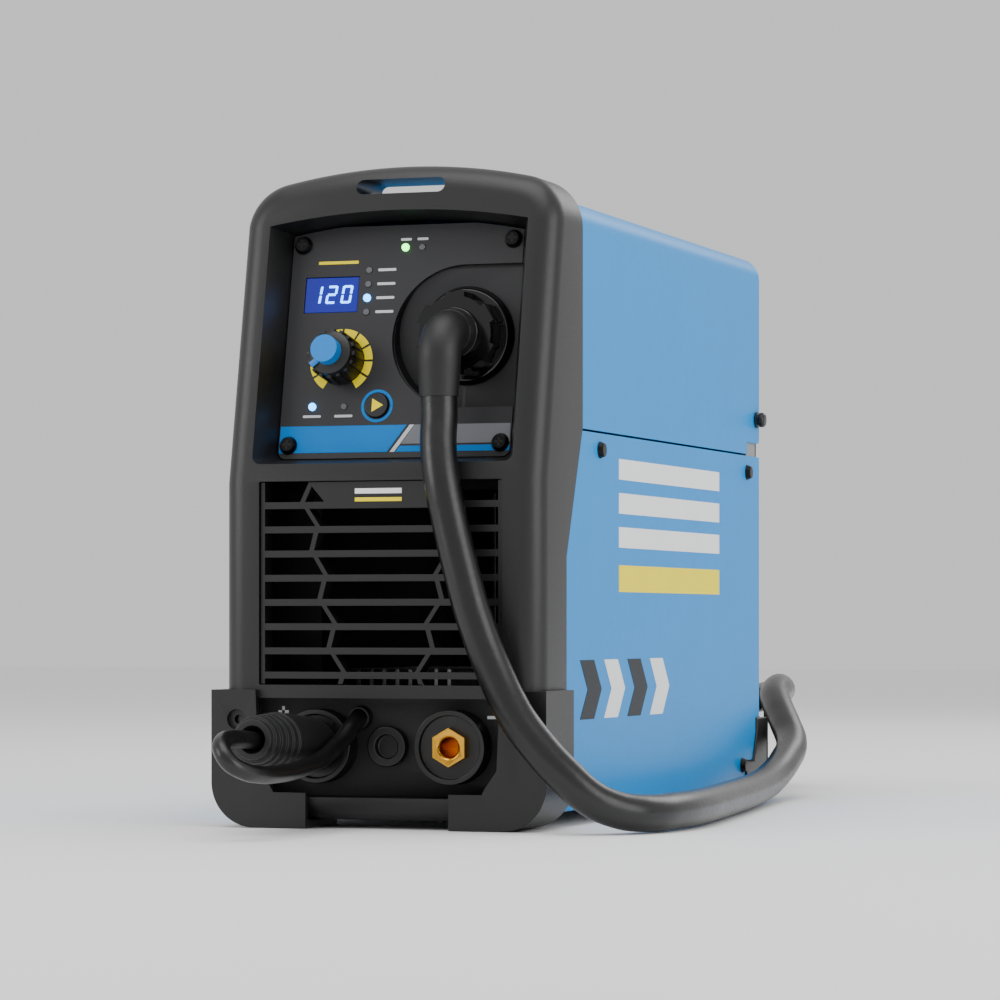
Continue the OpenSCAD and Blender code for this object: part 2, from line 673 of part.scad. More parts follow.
// Hub and seven blades on a spindle.
module fan_rotor() color([0.15, 0.15, 0.16]) translate([fan_x, ry - 3 - 26, fan_z]) {
    translate([0, 2, 0]) bar_y(31, 14);
    translate([0, 4, 0]) bar_y(5 - 2 * run_fit, 17);
    for (i = [0 : 6]) rotate([0, i * 360 / 7, 0]) translate([13, 9, 0]) rotate([35, 0, 0])
        translate([0, -1, -11]) cube([fan_d / 2 - 16, 2, 22]);
}

module inverter_board() color("green") {
    translate([-66, fy + 62, 14]) cube([132, 190, 2]);
    for (x = [-60, 60], y = [fy + 68, fy + 246]) translate([x, y, plate_t])
        cylinder(d = 8, h = 17 - plate_t);
    for (x = [-46, -12, 22]) translate([x, fy + 76, 15]) cylinder(d = 24, h = 41);
    translate([46, fy + 82, 15]) cylinder(d = 18, h = 31);
}
module heatsink() color("silver") translate([-60, fy + 110, 16]) {
    cube([56, 120, 6]);
    for (i = [0 : 8]) translate([i * 6.75, 0, 5]) cube([2, 120, 44]);
}
module transformer() color("saddlebrown") translate([34, fy + 165, 16]) {
    translate([-24, -30, 0]) cube([48, 60, 16]);
    translate([-24, -30, 44]) cube([48, 60, 16]);
    translate([0, 0, 15]) cylinder(d = 46, h = 30);
}

// Wire feeder: an upright plate with the motor behind it and the rolls in front.
feed_x = 8;
feed_y = fy + 92;
nip = 0.4;
roll_z = gun_z - roll_d / 2 - nip;
arm_pivot_y = feed_y + 26;
arm_pivot_z = gun_z + 11;
press_d = 20;
module feeder_plate() color("silver") difference() {
    union() {
        translate([feed_x - 6, feed_y - 34, shelf_z]) cube([6, 72, gun_z - shelf_z + 20]);
        translate([feed_x - 30, feed_y - 34, shelf_z]) cube([54, 72, 3]);
        translate([feed_x - 1, arm_pivot_y, arm_pivot_z]) bar_x(6 - 2 * run_fit, 42);
        translate([gun_x, feed_y - 34, gun_z]) bar_y(10, 16);
        translate([feed_x - 1, feed_y - 34, gun_z - 5]) cube([gun_x - feed_x + 1, 16, 10]);
        translate([gun_x, feed_y + 19, gun_z]) bar_y(8, 18);
        translate([feed_x - 1, feed_y + 19, gun_z - 4]) cube([gun_x - feed_x + 1, 6, 6]);
    }
    translate([gun_x, feed_y - 40, gun_z]) bar_y(3, 90);
    translate([feed_x - 8, feed_y, roll_z]) bar_x(10, 12);
}

module feeder_motor() color([0.25, 0.25, 0.27]) {
    translate([feed_x - 6 - 22, feed_y - 22, roll_z - 22]) cube([22, 44, 44]);
    translate([feed_x - 28 - 46, feed_y, roll_z]) bar_x(40, 46);
}

// Grooved drive roll on its shaft.
module drive_roll() color("silver") translate([0, feed_y, roll_z]) difference() {
    union() {
        translate([feed_x + 4, 0, 0]) bar_x(10 - 2 * run_fit - 2, 28);
        translate([feed_x - 5.7, 0, 0]) bar_x(10 - 2 * run_fit, 15);
        translate([gun_x - 6, 0, 0]) bar_x(roll_d, 12);
        translate([gun_x + 6, 0, 0]) bar_x(18, 6);
    }
    translate([gun_x, 0, 0]) rotate([0, 90, 0]) rotate_extrude()
        translate([roll_d / 2 + 0.6, 0]) circle(d = 2.4);
}

// Arm that presses the upper roller on the wire; it swings up to thread the wire.
press_z = gun_z + press_d / 2 + nip;
module pressure_arm() color([0.15, 0.15, 0.16]) difference() {
    union() {
        translate([gun_x - 14, feed_y - 24, press_z - 4]) cube([4, 46, 12]);
        translate([gun_x + 10, feed_y - 24, press_z - 4]) cube([4, 46, 12]);
        translate([gun_x - 14, feed_y - 24, press_z + 4]) cube([28, 12, 5]);
        for (x = [gun_x - 14, gun_x + 10]) translate([x, arm_pivot_y, arm_pivot_z]) bar_x(14, 4);
        translate([gun_x - 11, feed_y, press_z]) bar_x(4 - 2 * run_fit, 22);
    }
    translate([gun_x - 20, arm_pivot_y, arm_pivot_z]) bar_x(6, 40);
    translate([gun_x, feed_y - 18, press_z - 10]) cylinder(d = 5, h = 30);
}

module pressure_roller() color("silver") difference() {
    translate([gun_x - 5, feed_y, press_z]) bar_x(press_d, 10);
    translate([gun_x - 6, feed_y, press_z]) bar_x(4, 12);
}

// Ribbed tension knob on a short screw through the arm.
module tension_knob() color("black") translate([gun_x, feed_y - 18, press_z + 9.3]) {
    translate([0, 0, -9]) cylinder(d = 5 - 2 * run_fit, h = 12);
    cylinder(d1 = 15, d2 = 14, h = 14);
    for (i = [0 : 7]) rotate(i * 45) translate([6.4, -1, 1]) cube([1.9, 2, 11]);
}

spool_y = fy + 248;
spool_z = shelf_z + 4 + spool_d / 2;
module spool_holder() color([0.2, 0.2, 0.22]) {
    left = gun_x - spool_w / 2 - 6;
    difference() {
        translate([left - 4, spool_y - 26, shelf_z]) cube([4, 52, spool_z - shelf_z + 14]);
        translate([left - 5, spool_y - 60, spool_z + 4]) rotate([45, 0, 0]) cube([6, 40, 40]);
    }
    translate([left - 22, spool_y - 26, shelf_z]) cube([20, 52, 2.5]);
    translate([left - 1, spool_y, spool_z]) bar_x(axle_d - 2 * run_fit, spool_w + 14);
    translate([left - 1, spool_y, spool_z]) bar_x(26, 4);
}

module wire_spool() color([0.75, 0.75, 0.72]) translate([gun_x - spool_w / 2, spool_y, spool_z])
    difference() {
        union() {
            bar_x(spool_d, 3);
            translate([spool_w - 3, 0, 0]) bar_x(spool_d, 3);
            bar_x(44, spool_w);
        }
        translate([-over, 0, 0]) difference() {
            bar_x(38, spool_w - 4);
            translate([-over, 0, 0]) bar_x(22, spool_w);
        }
        translate([-over, 0, 0]) bar_x(axle_d, spool_w + 2 * over);
        for (i = [0 : 4]) rotate([i * 72, 0, 0]) translate([-over, 0, 35]) bar_x(12, 3 + 2 * over);
    }

// Nut that keeps the spool on its axle.
module spool_nut() color("black") translate([gun_x + spool_w / 2 + 0.6, spool_y, spool_z])
    difference() {
        union() {
            bar_x(24, 5);
            for (i = [0 : 2]) rotate([i * 120, 0, 0]) translate([0, -3, 8]) cube([5, 6, 8]);
        }
        translate([-over, 0, 0]) bar_x(axle_d - 2 * run_fit, 10);
    }

module spool_wire() color("chocolate") translate([gun_x - spool_w / 2 + 3, spool_y, spool_z])
    difference() {
        bar_x(spool_d - 12, spool_w - 6);
        translate([-over, 0, 0]) bar_x(44, spool_w);
    }

// Lid: an upside-down U of sheet that swings up about two pivot knobs near its rear edge.
pivot_y = ry - 7;
pivot_z = seam_z + 19.2;
pivot_d = 6;
notch_l = 25;
notch_h = 6.5;
corner_r = 2.5;
module lid_outline(t) {
    x = sheet_x - t;
    r = bend_r - t;
    translate([-x, seam_z]) square([2 * x, lid_top - bend_r - seam_z]);
    translate([-x + r, seam_z]) square([2 * (x - r), lid_top - t - seam_z]);
    for (s = [-1, 1]) translate([s * (sheet_x - bend_r), lid_top - bend_r]) circle(r);
}
module lid() color(blue) difference() {
    along_y(lid_y, ry - lid_y) difference() {
        lid_outline(0);
        lid_outline(sheet_t);
        translate([-sheet_x + sheet_t, seam_z - over]) square([sheet_w - 2 * sheet_t, 2 * over]);
    }
    along_x(-sheet_w, 2 * sheet_w) difference() {
        translate([ry - notch_l, seam_z - over])
            square([notch_l + over, notch_h + over + corner_r]);
        translate([ry - corner_r, seam_z + notch_h + corner_r]) circle(corner_r);
        translate([ry - notch_l - over, seam_z + notch_h]) square([notch_l + over - corner_r, 9]);
    }
    translate([-sheet_w, pivot_y, pivot_z]) bar_x(pivot_d, 2 * sheet_w);
}

// Knobs with a shouldered screw on which the lid turns.
module lid_pivots() color("black") for (s = [-1, 1]) translate([0, pivot_y, pivot_z])
    scale([s, 1, 1]) {
        inner = sheet_x - sheet_t - gap;
        translate([inner, 0, 0]) bar_x(pivot_d - 2 * run_fit, sheet_t + 2 * gap);
        translate([sheet_x + gap, 0, 0]) bar_x(9, 1);
        translate([sheet_x + gap, 0, 0]) bar_x(6, 2.5);
        translate([sheet_x + gap + 2, 0, 0]) bar_x(8, 2);
        translate([sheet_x + gap + 4, 0, 0]) rotate([0, 90, 0]) cylinder(d1 = 8, d2 = 6, h = 1);
        translate([inner - 6, 0, 0]) bar_x(4, 6.5);
    }

// Angles inside the rear corners that the pivot knobs screw into.
module pivot_brackets() color("gray") for (s = [-1, 1]) scale([s, 1, 1]) {
    x = sheet_x - sheet_t - gap;
    y = ry - 3 - gap - bracket_l;
    difference() {
        translate([x - 3, y, shelf_z]) cube([3, bracket_l, pivot_z - shelf_z + 7]);
        translate([x - 4, pivot_y, pivot_z]) bar_x(4, 5);
    }
    translate([x - 16, y, shelf_z]) cube([16, bracket_l, 2]);
}
bracket_l = 18;

// Torch, lying on its side with the neck turned towards the machine.
torch_x = -155;
torch_y = 250;
torch_z = floor_z + handle_d / 2;
torch_end = torch_y - handle_l;
neck_r = 42;
neck_turn = 50;
module torch_handle() color([0.12, 0.12, 0.13]) translate([torch_x, torch_y, torch_z])
    difference() {
        union() {
            translate([0, -handle_l + 12, 0]) bar_y(handle_d - 2, handle_l - 36);
            translate([0, -handle_l, 0]) rotate([-90, 0, 0])
                cylinder(d1 = 22, d2 = handle_d, h = 12.01);
            translate([0, -handle_l + 11.9, 0]) bar_y(handle_d, 8);
            translate([0, -24.1, 0]) rotate([-90, 0, 0])
                cylinder(d1 = handle_d - 2, d2 = hose_d + 5, h = 24.1);
        }
        translate([8, -handle_l + 22, -5]) cube([20, 46, 10]);
        translate([0, -handle_l - over, 0]) bar_y(neck_d, 20);
        translate([0, -12, 0]) bar_y(hose_d, 20);
    }

trigger_y = torch_end + 66;
module torch_trigger() color("red") translate([torch_x + 13, trigger_y, torch_z]) {
    translate([0, 0, -4.5]) linear_extrude(9) polygon([[-1.5, 0], [2, 0], [6.5, -14], [7.5, -30],
        [5, -42], [0.5, -42], [-1.5, -30]]);
    translate([0, -1, -4.5]) cylinder(d = 5, h = 9);
}

module torch_neck() color("silver") translate([torch_x, torch_end, torch_z]) {
    bar_y(neck_d, 18);
    translate([neck_r, 0, 0]) rotate([0, 0, 180]) rotate_extrude(angle = neck_turn, $fn = 64)
        translate([neck_r, 0]) circle(d = neck_d - 1);
    translate([neck_r, 0, 0]) rotate([0, 0, neck_turn]) translate([-neck_r, 0, 0])
        rotate([90, 0, 0]) union() {
            cylinder(d = neck_d, h = 22);
            translate([0, 0, 21]) cylinder(d = 6, h = 39);
        }
}

module torch_nozzle() color("gold") translate([torch_x + neck_r, torch_end, torch_z])
    rotate([0, 0, neck_turn]) translate([-neck_r, 0, 0]) rotate([90, 0, 0]) difference() {
        union() {
            translate([0, 0, 8]) cylinder(d = nozzle_d, h = 36);
            translate([0, 0, 44]) cylinder(d1 = nozzle_d, d2 = nozzle_d - 5, h = 14);
        }
        translate([0, 0, 7]) cylinder(d = neck_d, h = 16);
        translate([0, 0, 22]) cylinder(d = nozzle_d - 7, h = 40);
    }

base_pan();
side_sheet_left();
side_sheet_right();
front_bezel();
grille();
connector_wall();
boot_front_left();
boot_front_right();
boot_rear_left();
boot_rear_right();
rear_panel();
shelf();
front_bulkhead();
control_panel();
panel_screws();
display_window();
led_lenses();
gun_pocket();
gun_adaptor();
gun_lock_nut();
gun_elbow();
gun_hose();
gun_hose_coil();
socket_bodies();
socket_inserts();
blanking_plug();
polarity_plug();
polarity_lead();
lead_grommet();
case_screws();
fan_frame();
fan_rotor();
switch_bezel();
switch_rocker();
mains_gland();
gas_inlet();
inverter_board();
heatsink();
transformer();
feeder_plate();
feeder_motor();
drive_roll();
pressure_arm();
pressure_roller();
tension_knob();
spool_holder();
wire_spool();
spool_wire();
lid();
lid_pivots();
pivot_brackets();
spool_nut();
control_knob();
mode_button();
torch_handle();
torch_trigger();
torch_neck();
torch_nozzle();
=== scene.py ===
"""Builds the looks of a portable wire-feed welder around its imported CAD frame."""

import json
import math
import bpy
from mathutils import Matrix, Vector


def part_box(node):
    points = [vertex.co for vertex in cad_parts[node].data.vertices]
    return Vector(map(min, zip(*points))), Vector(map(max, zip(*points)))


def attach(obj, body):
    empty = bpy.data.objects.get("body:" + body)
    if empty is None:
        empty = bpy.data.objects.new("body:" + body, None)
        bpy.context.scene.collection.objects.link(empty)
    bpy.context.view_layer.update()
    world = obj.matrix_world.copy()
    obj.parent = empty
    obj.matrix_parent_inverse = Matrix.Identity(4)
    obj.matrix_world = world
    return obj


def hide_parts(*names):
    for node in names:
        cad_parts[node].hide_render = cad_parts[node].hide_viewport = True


bl_info = {
    "name": "Portable Wire-feed Welder",
    "version": (1, 0, 0),
    "blender": (4, 5, 0),
    "location": "View3D > Sidebar > Welder",
    "description": "Dresses a packed welder: moulded front, painted case, printed panel, hose and torch",
    "category": "Object",
}

import bmesh
import bpy
from mathutils import Matrix, Vector

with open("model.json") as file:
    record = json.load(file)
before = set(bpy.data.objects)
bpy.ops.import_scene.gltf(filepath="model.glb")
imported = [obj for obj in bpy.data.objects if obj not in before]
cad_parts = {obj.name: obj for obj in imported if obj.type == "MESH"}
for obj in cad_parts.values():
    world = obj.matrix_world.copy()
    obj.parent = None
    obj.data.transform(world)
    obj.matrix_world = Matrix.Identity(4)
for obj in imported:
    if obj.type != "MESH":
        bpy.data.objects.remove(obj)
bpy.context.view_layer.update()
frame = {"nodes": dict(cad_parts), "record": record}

MM = 0.001
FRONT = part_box("front_bezel")[0].y
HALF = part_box("front_bezel")[1].x
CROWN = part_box("front_bezel")[1].z
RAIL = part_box("front_bezel")[0].z
BEZEL_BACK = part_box("front_bezel")[1].y
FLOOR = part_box("boot_front_left")[0].z
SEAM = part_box("lid")[0].z
SHEET_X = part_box("side_sheet_right")[1].x
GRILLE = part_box("grille")
WALL_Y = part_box("connector_wall")[1].y - 2.5 * MM
LEAN = math.radians(11.5)
KINK = 153.5 * MM
PANEL_DEPTH = 15 * MM
# Half of a width that clears the case on both sides.
WIDE = 100 * MM


def linear(code):
    """A linear colour from an sRGB hex code."""
    parts = [int(code[i:i + 2], 16) / 255 for i in (1, 3, 5)]
    return tuple(c / 12.92 if c <= 0.04045 else ((c + 0.055) / 1.055) ** 2.4 for c in parts)


WHITE_INK = linear("#F2F3F3")
# Slow drift of a surface's colour: patches about 40 mm across.
DRIFT_SCALE = 26.0

# ---------------------------------------------------------------- settings


def colour_setting(name, description, code):
    return bpy.props.FloatVectorProperty(
        name=name, description=description, default=linear(code), size=3, min=0, max=1, subtype="COLOR")


def length_setting(name, description, millimetres):
    return bpy.props.FloatProperty(
        name=name, description=description, default=millimetres * MM, min=0, precision=4, unit="LENGTH")


class WelderCaseSettings(bpy.types.PropertyGroup):
    """Sizes and colours of the case."""

    powder_blue: colour_setting("Powder coat", "Colour of the lid and the side sheets", "#008CD8")
    front_black: colour_setting("Front moulding", "Colour of the moulded front and the boots", "#121213")
    panel_grey: colour_setting("Panel film", "Colour of the control panel's film", "#1F1F22")
    print_blue: colour_setting("Blue print", "Colour of the panel's blue band and rings", "#0078C8")
    print_yellow: colour_setting("Yellow print", "Colour of the scale and the side bars", "#FFE600")
    front_round: length_setting("Front rounding", "Radius of the front moulding's outer edges", 11)
    small_edge: length_setting("Small edges", "Radius of the moulding's inner edges", 0.7)


class WelderHoseSettings(bpy.types.PropertyGroup):
    """Sizes of the gun hose and the polarity lead."""

    hose_width: length_setting("Gun hose", "Outside diameter of the gun hose", 17)
    lead_width: length_setting("Polarity lead", "Outside diameter of the polarity lead", 8)
    coil_radius: length_setting("Coil", "Radius at the middle of the coiled turns", 95)
    tie_width: length_setting("Ties", "Width of the straps that hold the coil", 14)


class WelderStageSettings(bpy.types.PropertyGroup):
    """Floor, lights and camera."""

    floor_colour: colour_setting("Floor", "Colour of the studio floor", "#F7F7F7")
    key_power: bpy.props.FloatProperty(
        name="Key light", description="Power of the large soft light", default=16, min=0, unit="POWER")
    camera_lens: bpy.props.FloatProperty(
        name="Lens", description="Focal length of the camera", default=141.05, min=1, unit="CAMERA")


# --------------------------------------------------------------- materials


def add_node(tree, kind, inputs=None, **settings):
    """Adds a node, sets its properties, and fills or links its inputs."""
    made = tree.nodes.new(kind)
    for key, value in settings.items():
        setattr(made, key, value)
    for key, value in (inputs or {}).items():
        if isinstance(value, bpy.types.NodeSocket):
            tree.links.new(value, made.inputs[key])
        else:
            made.inputs[key].default_value = value
    return made


def blank_material(name):
    material = bpy.data.materials.new(name)
    material.use_nodes = True
    material.node_tree.nodes.clear()
    return material, material.node_tree


def shade(colour, factor):
    return tuple(min(1, c * factor) for c in colour) + (1,)


def blend_of(tree, factor, low, high):
    """The colour between low and high that a factor picks."""
    mix = add_node(tree, "ShaderNodeMix", {"Factor": factor}, data_type="RGBA")
    colours = [socket for socket in mix.inputs if socket.type == "RGBA"]
    for socket, colour in zip(colours, (low, high)):
        socket.default_value = colour
    return next(socket for socket in mix.outputs if socket.type == "RGBA")


def finish(name, colour, metallic=0.0, roughness=0.5, grain_mm=1.0, bump=0.15, mottle=0.12,
           spread=0.08, stretch=(1, 1, 1), ior=1.5):
    """A surface with a fine grain in its relief and a slower drift in its colour and gloss."""
    if name in bpy.data.materials:
        return bpy.data.materials[name]
    material, tree = blank_material(name)
    place = add_node(tree, "ShaderNodeTexCoord").outputs["Object"]
    place = add_node(tree, "ShaderNodeMapping", {"Vector": place, "Scale": stretch}).outputs["Vector"]
    drift = add_node(tree, "ShaderNodeTexNoise", {"Vector": place, "Scale": DRIFT_SCALE, "Detail": 4.0})
    grain = add_node(tree, "ShaderNodeTexNoise", {
        "Vector": place, "Scale": 1 / (grain_mm * MM), "Detail": 2.0})
    tint = blend_of(tree, drift.outputs["Fac"], shade(colour, 1 - mottle), shade(colour, 1 + mottle))
    gloss = add_node(tree, "ShaderNodeMapRange", {
        "Value": grain.outputs["Fac"], "To Min": max(0.02, roughness - spread),
        "To Max": min(1, roughness + spread)})
    relief = add_node(tree, "ShaderNodeBump", {
        "Height": grain.outputs["Fac"], "Strength": bump, "Distance": 0.1 * grain_mm * MM})
    shader = add_node(tree, "ShaderNodeBsdfPrincipled", {
        "Base Color": tint, "Roughness": gloss.outputs["Result"],
        "Metallic": metallic, "IOR": ior, "Normal": relief.outputs["Normal"]})
    add_node(tree, "ShaderNodeOutputMaterial", {"Surface": shader.outputs["BSDF"]})
    return material


def settings():
    return bpy.context.scene.welder_case


def front_abs():
    # Textured ABS: fine spark-eroded grain that breaks the highlights into a soft sheen.
    return finish("spark_textured_abs", settings().front_black, roughness=0.4, grain_mm=0.9,
                  bump=0.5, mottle=0.06)


def black_nylon():
    # Glass-filled nylon: nearly black, satin, with a faint cloudy flow.
    return finish("black_nylon", linear("#0B0B0C"), roughness=0.34, grain_mm=1.4, bump=0.12, mottle=0.2)


def painted_shade_black():
    # Painted shade: unlit inner plastic in a matt near-black, darker than the moulding, used on recess
    # walls, screw slots and hidden inner faces so that they read as a deep shadow.
    return finish("matt_inner_plastic", linear("#060607"), roughness=0.6, grain_mm=1.2, bump=0.2)


def gloss_nylon():
    # Polished nylon nut and ring: sharp highlights along their lobes.
    return finish("polished_nylon", linear("#060607"), roughness=0.13, spread=0.04, grain_mm=2.5, bump=0.04)


def powder_coat():
    # Powder coat: even colour, satin gloss and a slight orange peel about 3 mm across.
    return finish("blue_powder_coat", settings().powder_blue, roughness=0.36, spread=0.04,
                  grain_mm=3.0, bump=0.07, mottle=0.035, ior=1.25)


def zinc_sheet():
    # Galvanised sheet: cool grey with a drifting spangle.
    return finish("galvanised_sheet", linear("#A7ABAE"), metallic=1.0, roughness=0.42,
                  grain_mm=7, bump=0.1, mottle=0.16)


def panel_film():
    # Printed polycarbonate film: dark grey with a fine matt texture.
    return finish("polycarbonate_film", settings().panel_grey, roughness=0.5, grain_mm=0.7,
                  bump=0.3, mottle=0.05)


def black_screw():
    # Blackened steel: dark with worn, brighter gloss.
    return finish("blackened_steel", linear("#121213"), metallic=0.7, roughness=0.36, grain_mm=0.8, bump=0.1)


def smoked_lens():
    # Backlit acrylic over the display: deep blue, lit from behind.
    return lit("backlit_acrylic", linear("#0A1890"), 0.3)


def clear_lens():
    # Unlit lamp lenses: milky grey polycarbonate.
    return finish("milky_lens", linear("#5C5D61"), roughness=0.25, spread=0.04, grain_mm=2, bump=0.02)


def cord_rubber():
    # Rubber hose cover: satin black, slightly cloudy, with a broad soft highlight.
    return finish("hose_rubber", linear("#0C0C0D"), roughness=0.32, grain_mm=2.2,
                  bump=0.16, mottle=0.16, spread=0.1)


def soft_rubber():
    # Moulded rubber sleeve: a little duller than the hose.
    return finish("sleeve_rubber", linear("#0C0C0D"), roughness=0.5, grain_mm=1.2, bump=0.2)


def turned_brass():
    # Turned brass: warm and bright with fine lathe marks along the bore's axis.
    return finish("turned_brass", linear("#E0A83C"), metallic=1.0, roughness=0.2, spread=0.06,
                  grain_mm=0.8, bump=0.12, mottle=0.1, stretch=(0.3, 2.5, 0.3))


def signal_red():
    # Red glossy plastic of the rocker and the trigger.
    return finish("signal_red_plastic", linear("#B3201C"), roughness=0.3, grain_mm=1.5, bump=0.06)


def bare_aluminium():
    # Extruded aluminium: grey, with fine lines along the fins.
    return finish("extruded_aluminium", linear("#C9CBCD"), metallic=1.0, roughness=0.34,
                  grain_mm=0.9, bump=0.15, stretch=(3, 0.2, 1))


def ground_steel():
    # Ground steel of rolls and neck: neutral grey and semi-bright.
    return finish("ground_steel", linear("#B4B5B6"), metallic=1.0, roughness=0.28, grain_mm=0.6, bump=0.1)


def motor_enamel():
    # Stoved enamel on the motor can.
    return finish("motor_enamel", linear("#37393C"), metallic=0.3, roughness=0.4, grain_mm=1.5, bump=0.1)


def nozzle_copper():
    # Copper nozzle: warm metal with faint heat drift.
    return finish("nozzle_copper", linear("#D08A5C"), metallic=1.0, roughness=0.26,
                  grain_mm=1.2, bump=0.08, mottle=0.18)


def spool_abs():
    # Black ABS of the wire spool.
    return finish("spool_abs", linear("#1E1E20"), roughness=0.42, grain_mm=1, bump=0.15)


def varnished_winding():
    # Enamelled wire under varnish: brown, with a painted highlight on the strands' crowns and painted shade
    # between them.
    return banded("varnished_winding", linear("#8A4A20"), 1.2, "Z", 0.0, 0.35)


def copper_wire():
    # Copper-coated wire wound side by side: bands 1.6 mm apart, so that they show, with a painted highlight
    # on each strand's crown and painted shade between the strands.
    return banded("wound_copper_wire", linear("#C4794B"), 1.6, "X", 0.9, 0.3)


def circuit_green():
    # Solder-masked board with a faint mottling of tracks.
    return finish("solder_mask", linear("#0F5A30"), roughness=0.35, grain_mm=3.5, bump=0.25, mottle=0.35)


def banded(name, colour, pitch_mm, axis, metallic, roughness):
    """Side-by-side strands a pitch apart along one axis, with a painted highlight on their crowns and
    painted shade between them.
    """
    if name in bpy.data.materials:
        return bpy.data.materials[name]
    material, tree = blank_material(name)
    place = add_node(tree, "ShaderNodeTexCoord").outputs["Object"]
    strands = add_node(tree, "ShaderNodeTexWave", {
        "Vector": place, "Scale": math.pi / (10 * pitch_mm * MM), "Distortion": 0.0}, bands_direction=axis)
    # Painted highlight and shade: the colour runs from 45 % between the strands to 110 % on their crowns.
    tint = blend_of(tree, strands.outputs["Fac"], shade(colour, 0.45), shade(colour, 1.1))
    relief = add_node(tree, "ShaderNodeBump", {
        "Height": strands.outputs["Fac"], "Strength": 0.6, "Distance": 0.3 * pitch_mm * MM})
    shader = add_node(tree, "ShaderNodeBsdfPrincipled", {
        "Base Color": tint, "Metallic": metallic, "Roughness": roughness,
        "Normal": relief.outputs["Normal"]})
    add_node(tree, "ShaderNodeOutputMaterial", {"Surface": shader.outputs["BSDF"]})
    return material


def print_ink(name, colour):
    # Screen-printed ink: flat colour with a slight unevenness and satin gloss.
    return finish(name, colour, roughness=0.42, grain_mm=0.8, bump=0.06, mottle=0.05, ior=1.25)


def lit(name, colour, strength):
    """A glowing lens or digit with a soft core."""
    if name in bpy.data.materials:
        return bpy.data.materials[name]
    material, tree = blank_material(name)
    place = add_node(tree, "ShaderNodeTexCoord").outputs["Object"]
    glow = add_node(tree, "ShaderNodeTexNoise", {"Vector": place, "Scale": 900.0, "Detail": 1.0})
    level = add_node(tree, "ShaderNodeMapRange", {
        "Value": glow.outputs["Fac"], "To Min": strength * 0.8, "To Max": strength * 1.1})
    shader = add_node(tree, "ShaderNodeBsdfPrincipled", {
        "Base Color": shade(colour, 1), "Roughness": 0.25, "Emission Color": shade(colour, 1),
        "Emission Strength": level.outputs["Result"]})
    add_node(tree, "ShaderNodeOutputMaterial", {"Surface": shader.outputs["BSDF"]})
    return material


# ------------------------------------------------------------ mesh helpers


def arc(cx, cy, radius, start, end, steps):
    """Points of an arc, without its last one, so that arcs join without doubles."""
    turns = [math.radians(start + (end - start) * i / steps) for i in range(steps)]
    return [(cx + radius * math.cos(a), cy + radius * math.sin(a)) for a in turns]


def slab(points, place, sweep):
    """A closed solid: an outline put in space by place, then extruded by sweep."""
    bm = bmesh.new()
    face = bm.faces.new([bm.verts.new(place(a, b)) for a, b in points])
    grown = bmesh.ops.extrude_face_region(bm, geom=[face])["geom"]
    bmesh.ops.translate(bm, vec=sweep, verts=[g for g in grown if isinstance(g, bmesh.types.BMVert)])
    bmesh.ops.recalc_face_normals(bm, faces=bm.faces)
    return bm


def across(points, y0, y1):
    """An outline in x and z, extruded along y."""
    return slab(points, lambda x, z: Vector((x, y0, z)), Vector((0, y1 - y0, 0)))


def sideways(points, x0, x1):
    """An outline in y and z, extruded along x."""
    return slab(points, lambda y, z: Vector((x0, y, z)), Vector((x1 - x0, 0, 0)))


def on_face(x, v, depth=0.0):
    """A point of the leaning face: across, up the slope and into the case."""
    return Vector((x, FRONT + depth * math.cos(LEAN) + v * math.sin(LEAN),
                   KINK - depth * math.sin(LEAN) + v * math.cos(LEAN)))


INWARD = on_face(0, 0, 1) - on_face(0, 0, 0)


def oblong(width, height, radius, cx=0.0, cy=0.0, steps=6):
    """A rectangle with rounded corners."""
    w, h = width / 2 - radius, height / 2 - radius
    points = []
    for sx, sy, start in ((1, -1, -90), (1, 1, 0), (-1, 1, 90), (-1, -1, 180)):
        points += arc(cx + sx * w, cy + sy * h, radius, start, start + 90, steps)
        end = math.radians(start + 90)
        points.append((cx + sx * w + radius * math.cos(end), cy + sy * h + radius * math.sin(end)))
    return points


def loft(rings):
    """Closed rings of equal counts, bridged in order and capped."""
    bm = bmesh.new()
    loops = []
    for ring in rings:
        verts = [bm.verts.new(p) for p in ring]
        loops.append([bm.edges.new((a, b)) for a, b in zip(verts, verts[1:] + verts[:1])])
    for a, b in zip(loops, loops[1:]):
        bmesh.ops.bridge_loops(bm, edges=a + b)
    for loop in (loops[0], loops[-1]):
        bmesh.ops.contextual_create(bm, geom=loop)
    bmesh.ops.recalc_face_normals(bm, faces=bm.faces)
    return bm


def object_from(bm, name):
    mesh = bpy.data.meshes.new(name)
    bm.to_mesh(mesh)
    bm.free()
    made = bpy.data.objects.new(name, mesh)
    bpy.context.scene.collection.objects.link(made)
    return made


def combine(target, bm, operation="DIFFERENCE"):
    """Cuts, joins or crosses target with the solid in bm, and keeps the result as its mesh."""
    tool = object_from(bm, "cutter")
    step = target.modifiers.new("cut", "BOOLEAN")
    step.object = tool
    step.operation = operation
    step.solver = "EXACT"
    result = bpy.data.meshes.new_from_object(
        target.evaluated_get(bpy.context.evaluated_depsgraph_get()))
    target.modifiers.clear()
    target.data = result
    bpy.data.objects.remove(tool)


def ease_edges(piece, width, segments=2, limit=32):
    """Rounds the sharp edges and shades the rest smooth."""
    piece.data.shade_smooth()
    piece.data.set_sharp_from_angle(angle=math.radians(limit + 10))
    if width > 0:
        bevel = piece.modifiers.new("eased edges", "BEVEL")
        bevel.width = width
        bevel.segments = segments
        bevel.limit_method = "ANGLE"
        bevel.angle_limit = math.radians(limit)
        bevel.harden_normals = True


def settle(piece, material, body="root", stands_for=()):
    """Gives a piece its material and its body, and hides the CAD nodes it stands for."""
    if not piece.data.materials:
        piece.data.materials.append(material)
    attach(piece, body)
    if stands_for:
        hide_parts(*stands_for)
    return piece


BODY = {n: b for b, ns in frame["record"]["behaviour"]["bodies"].items() for n in ns}


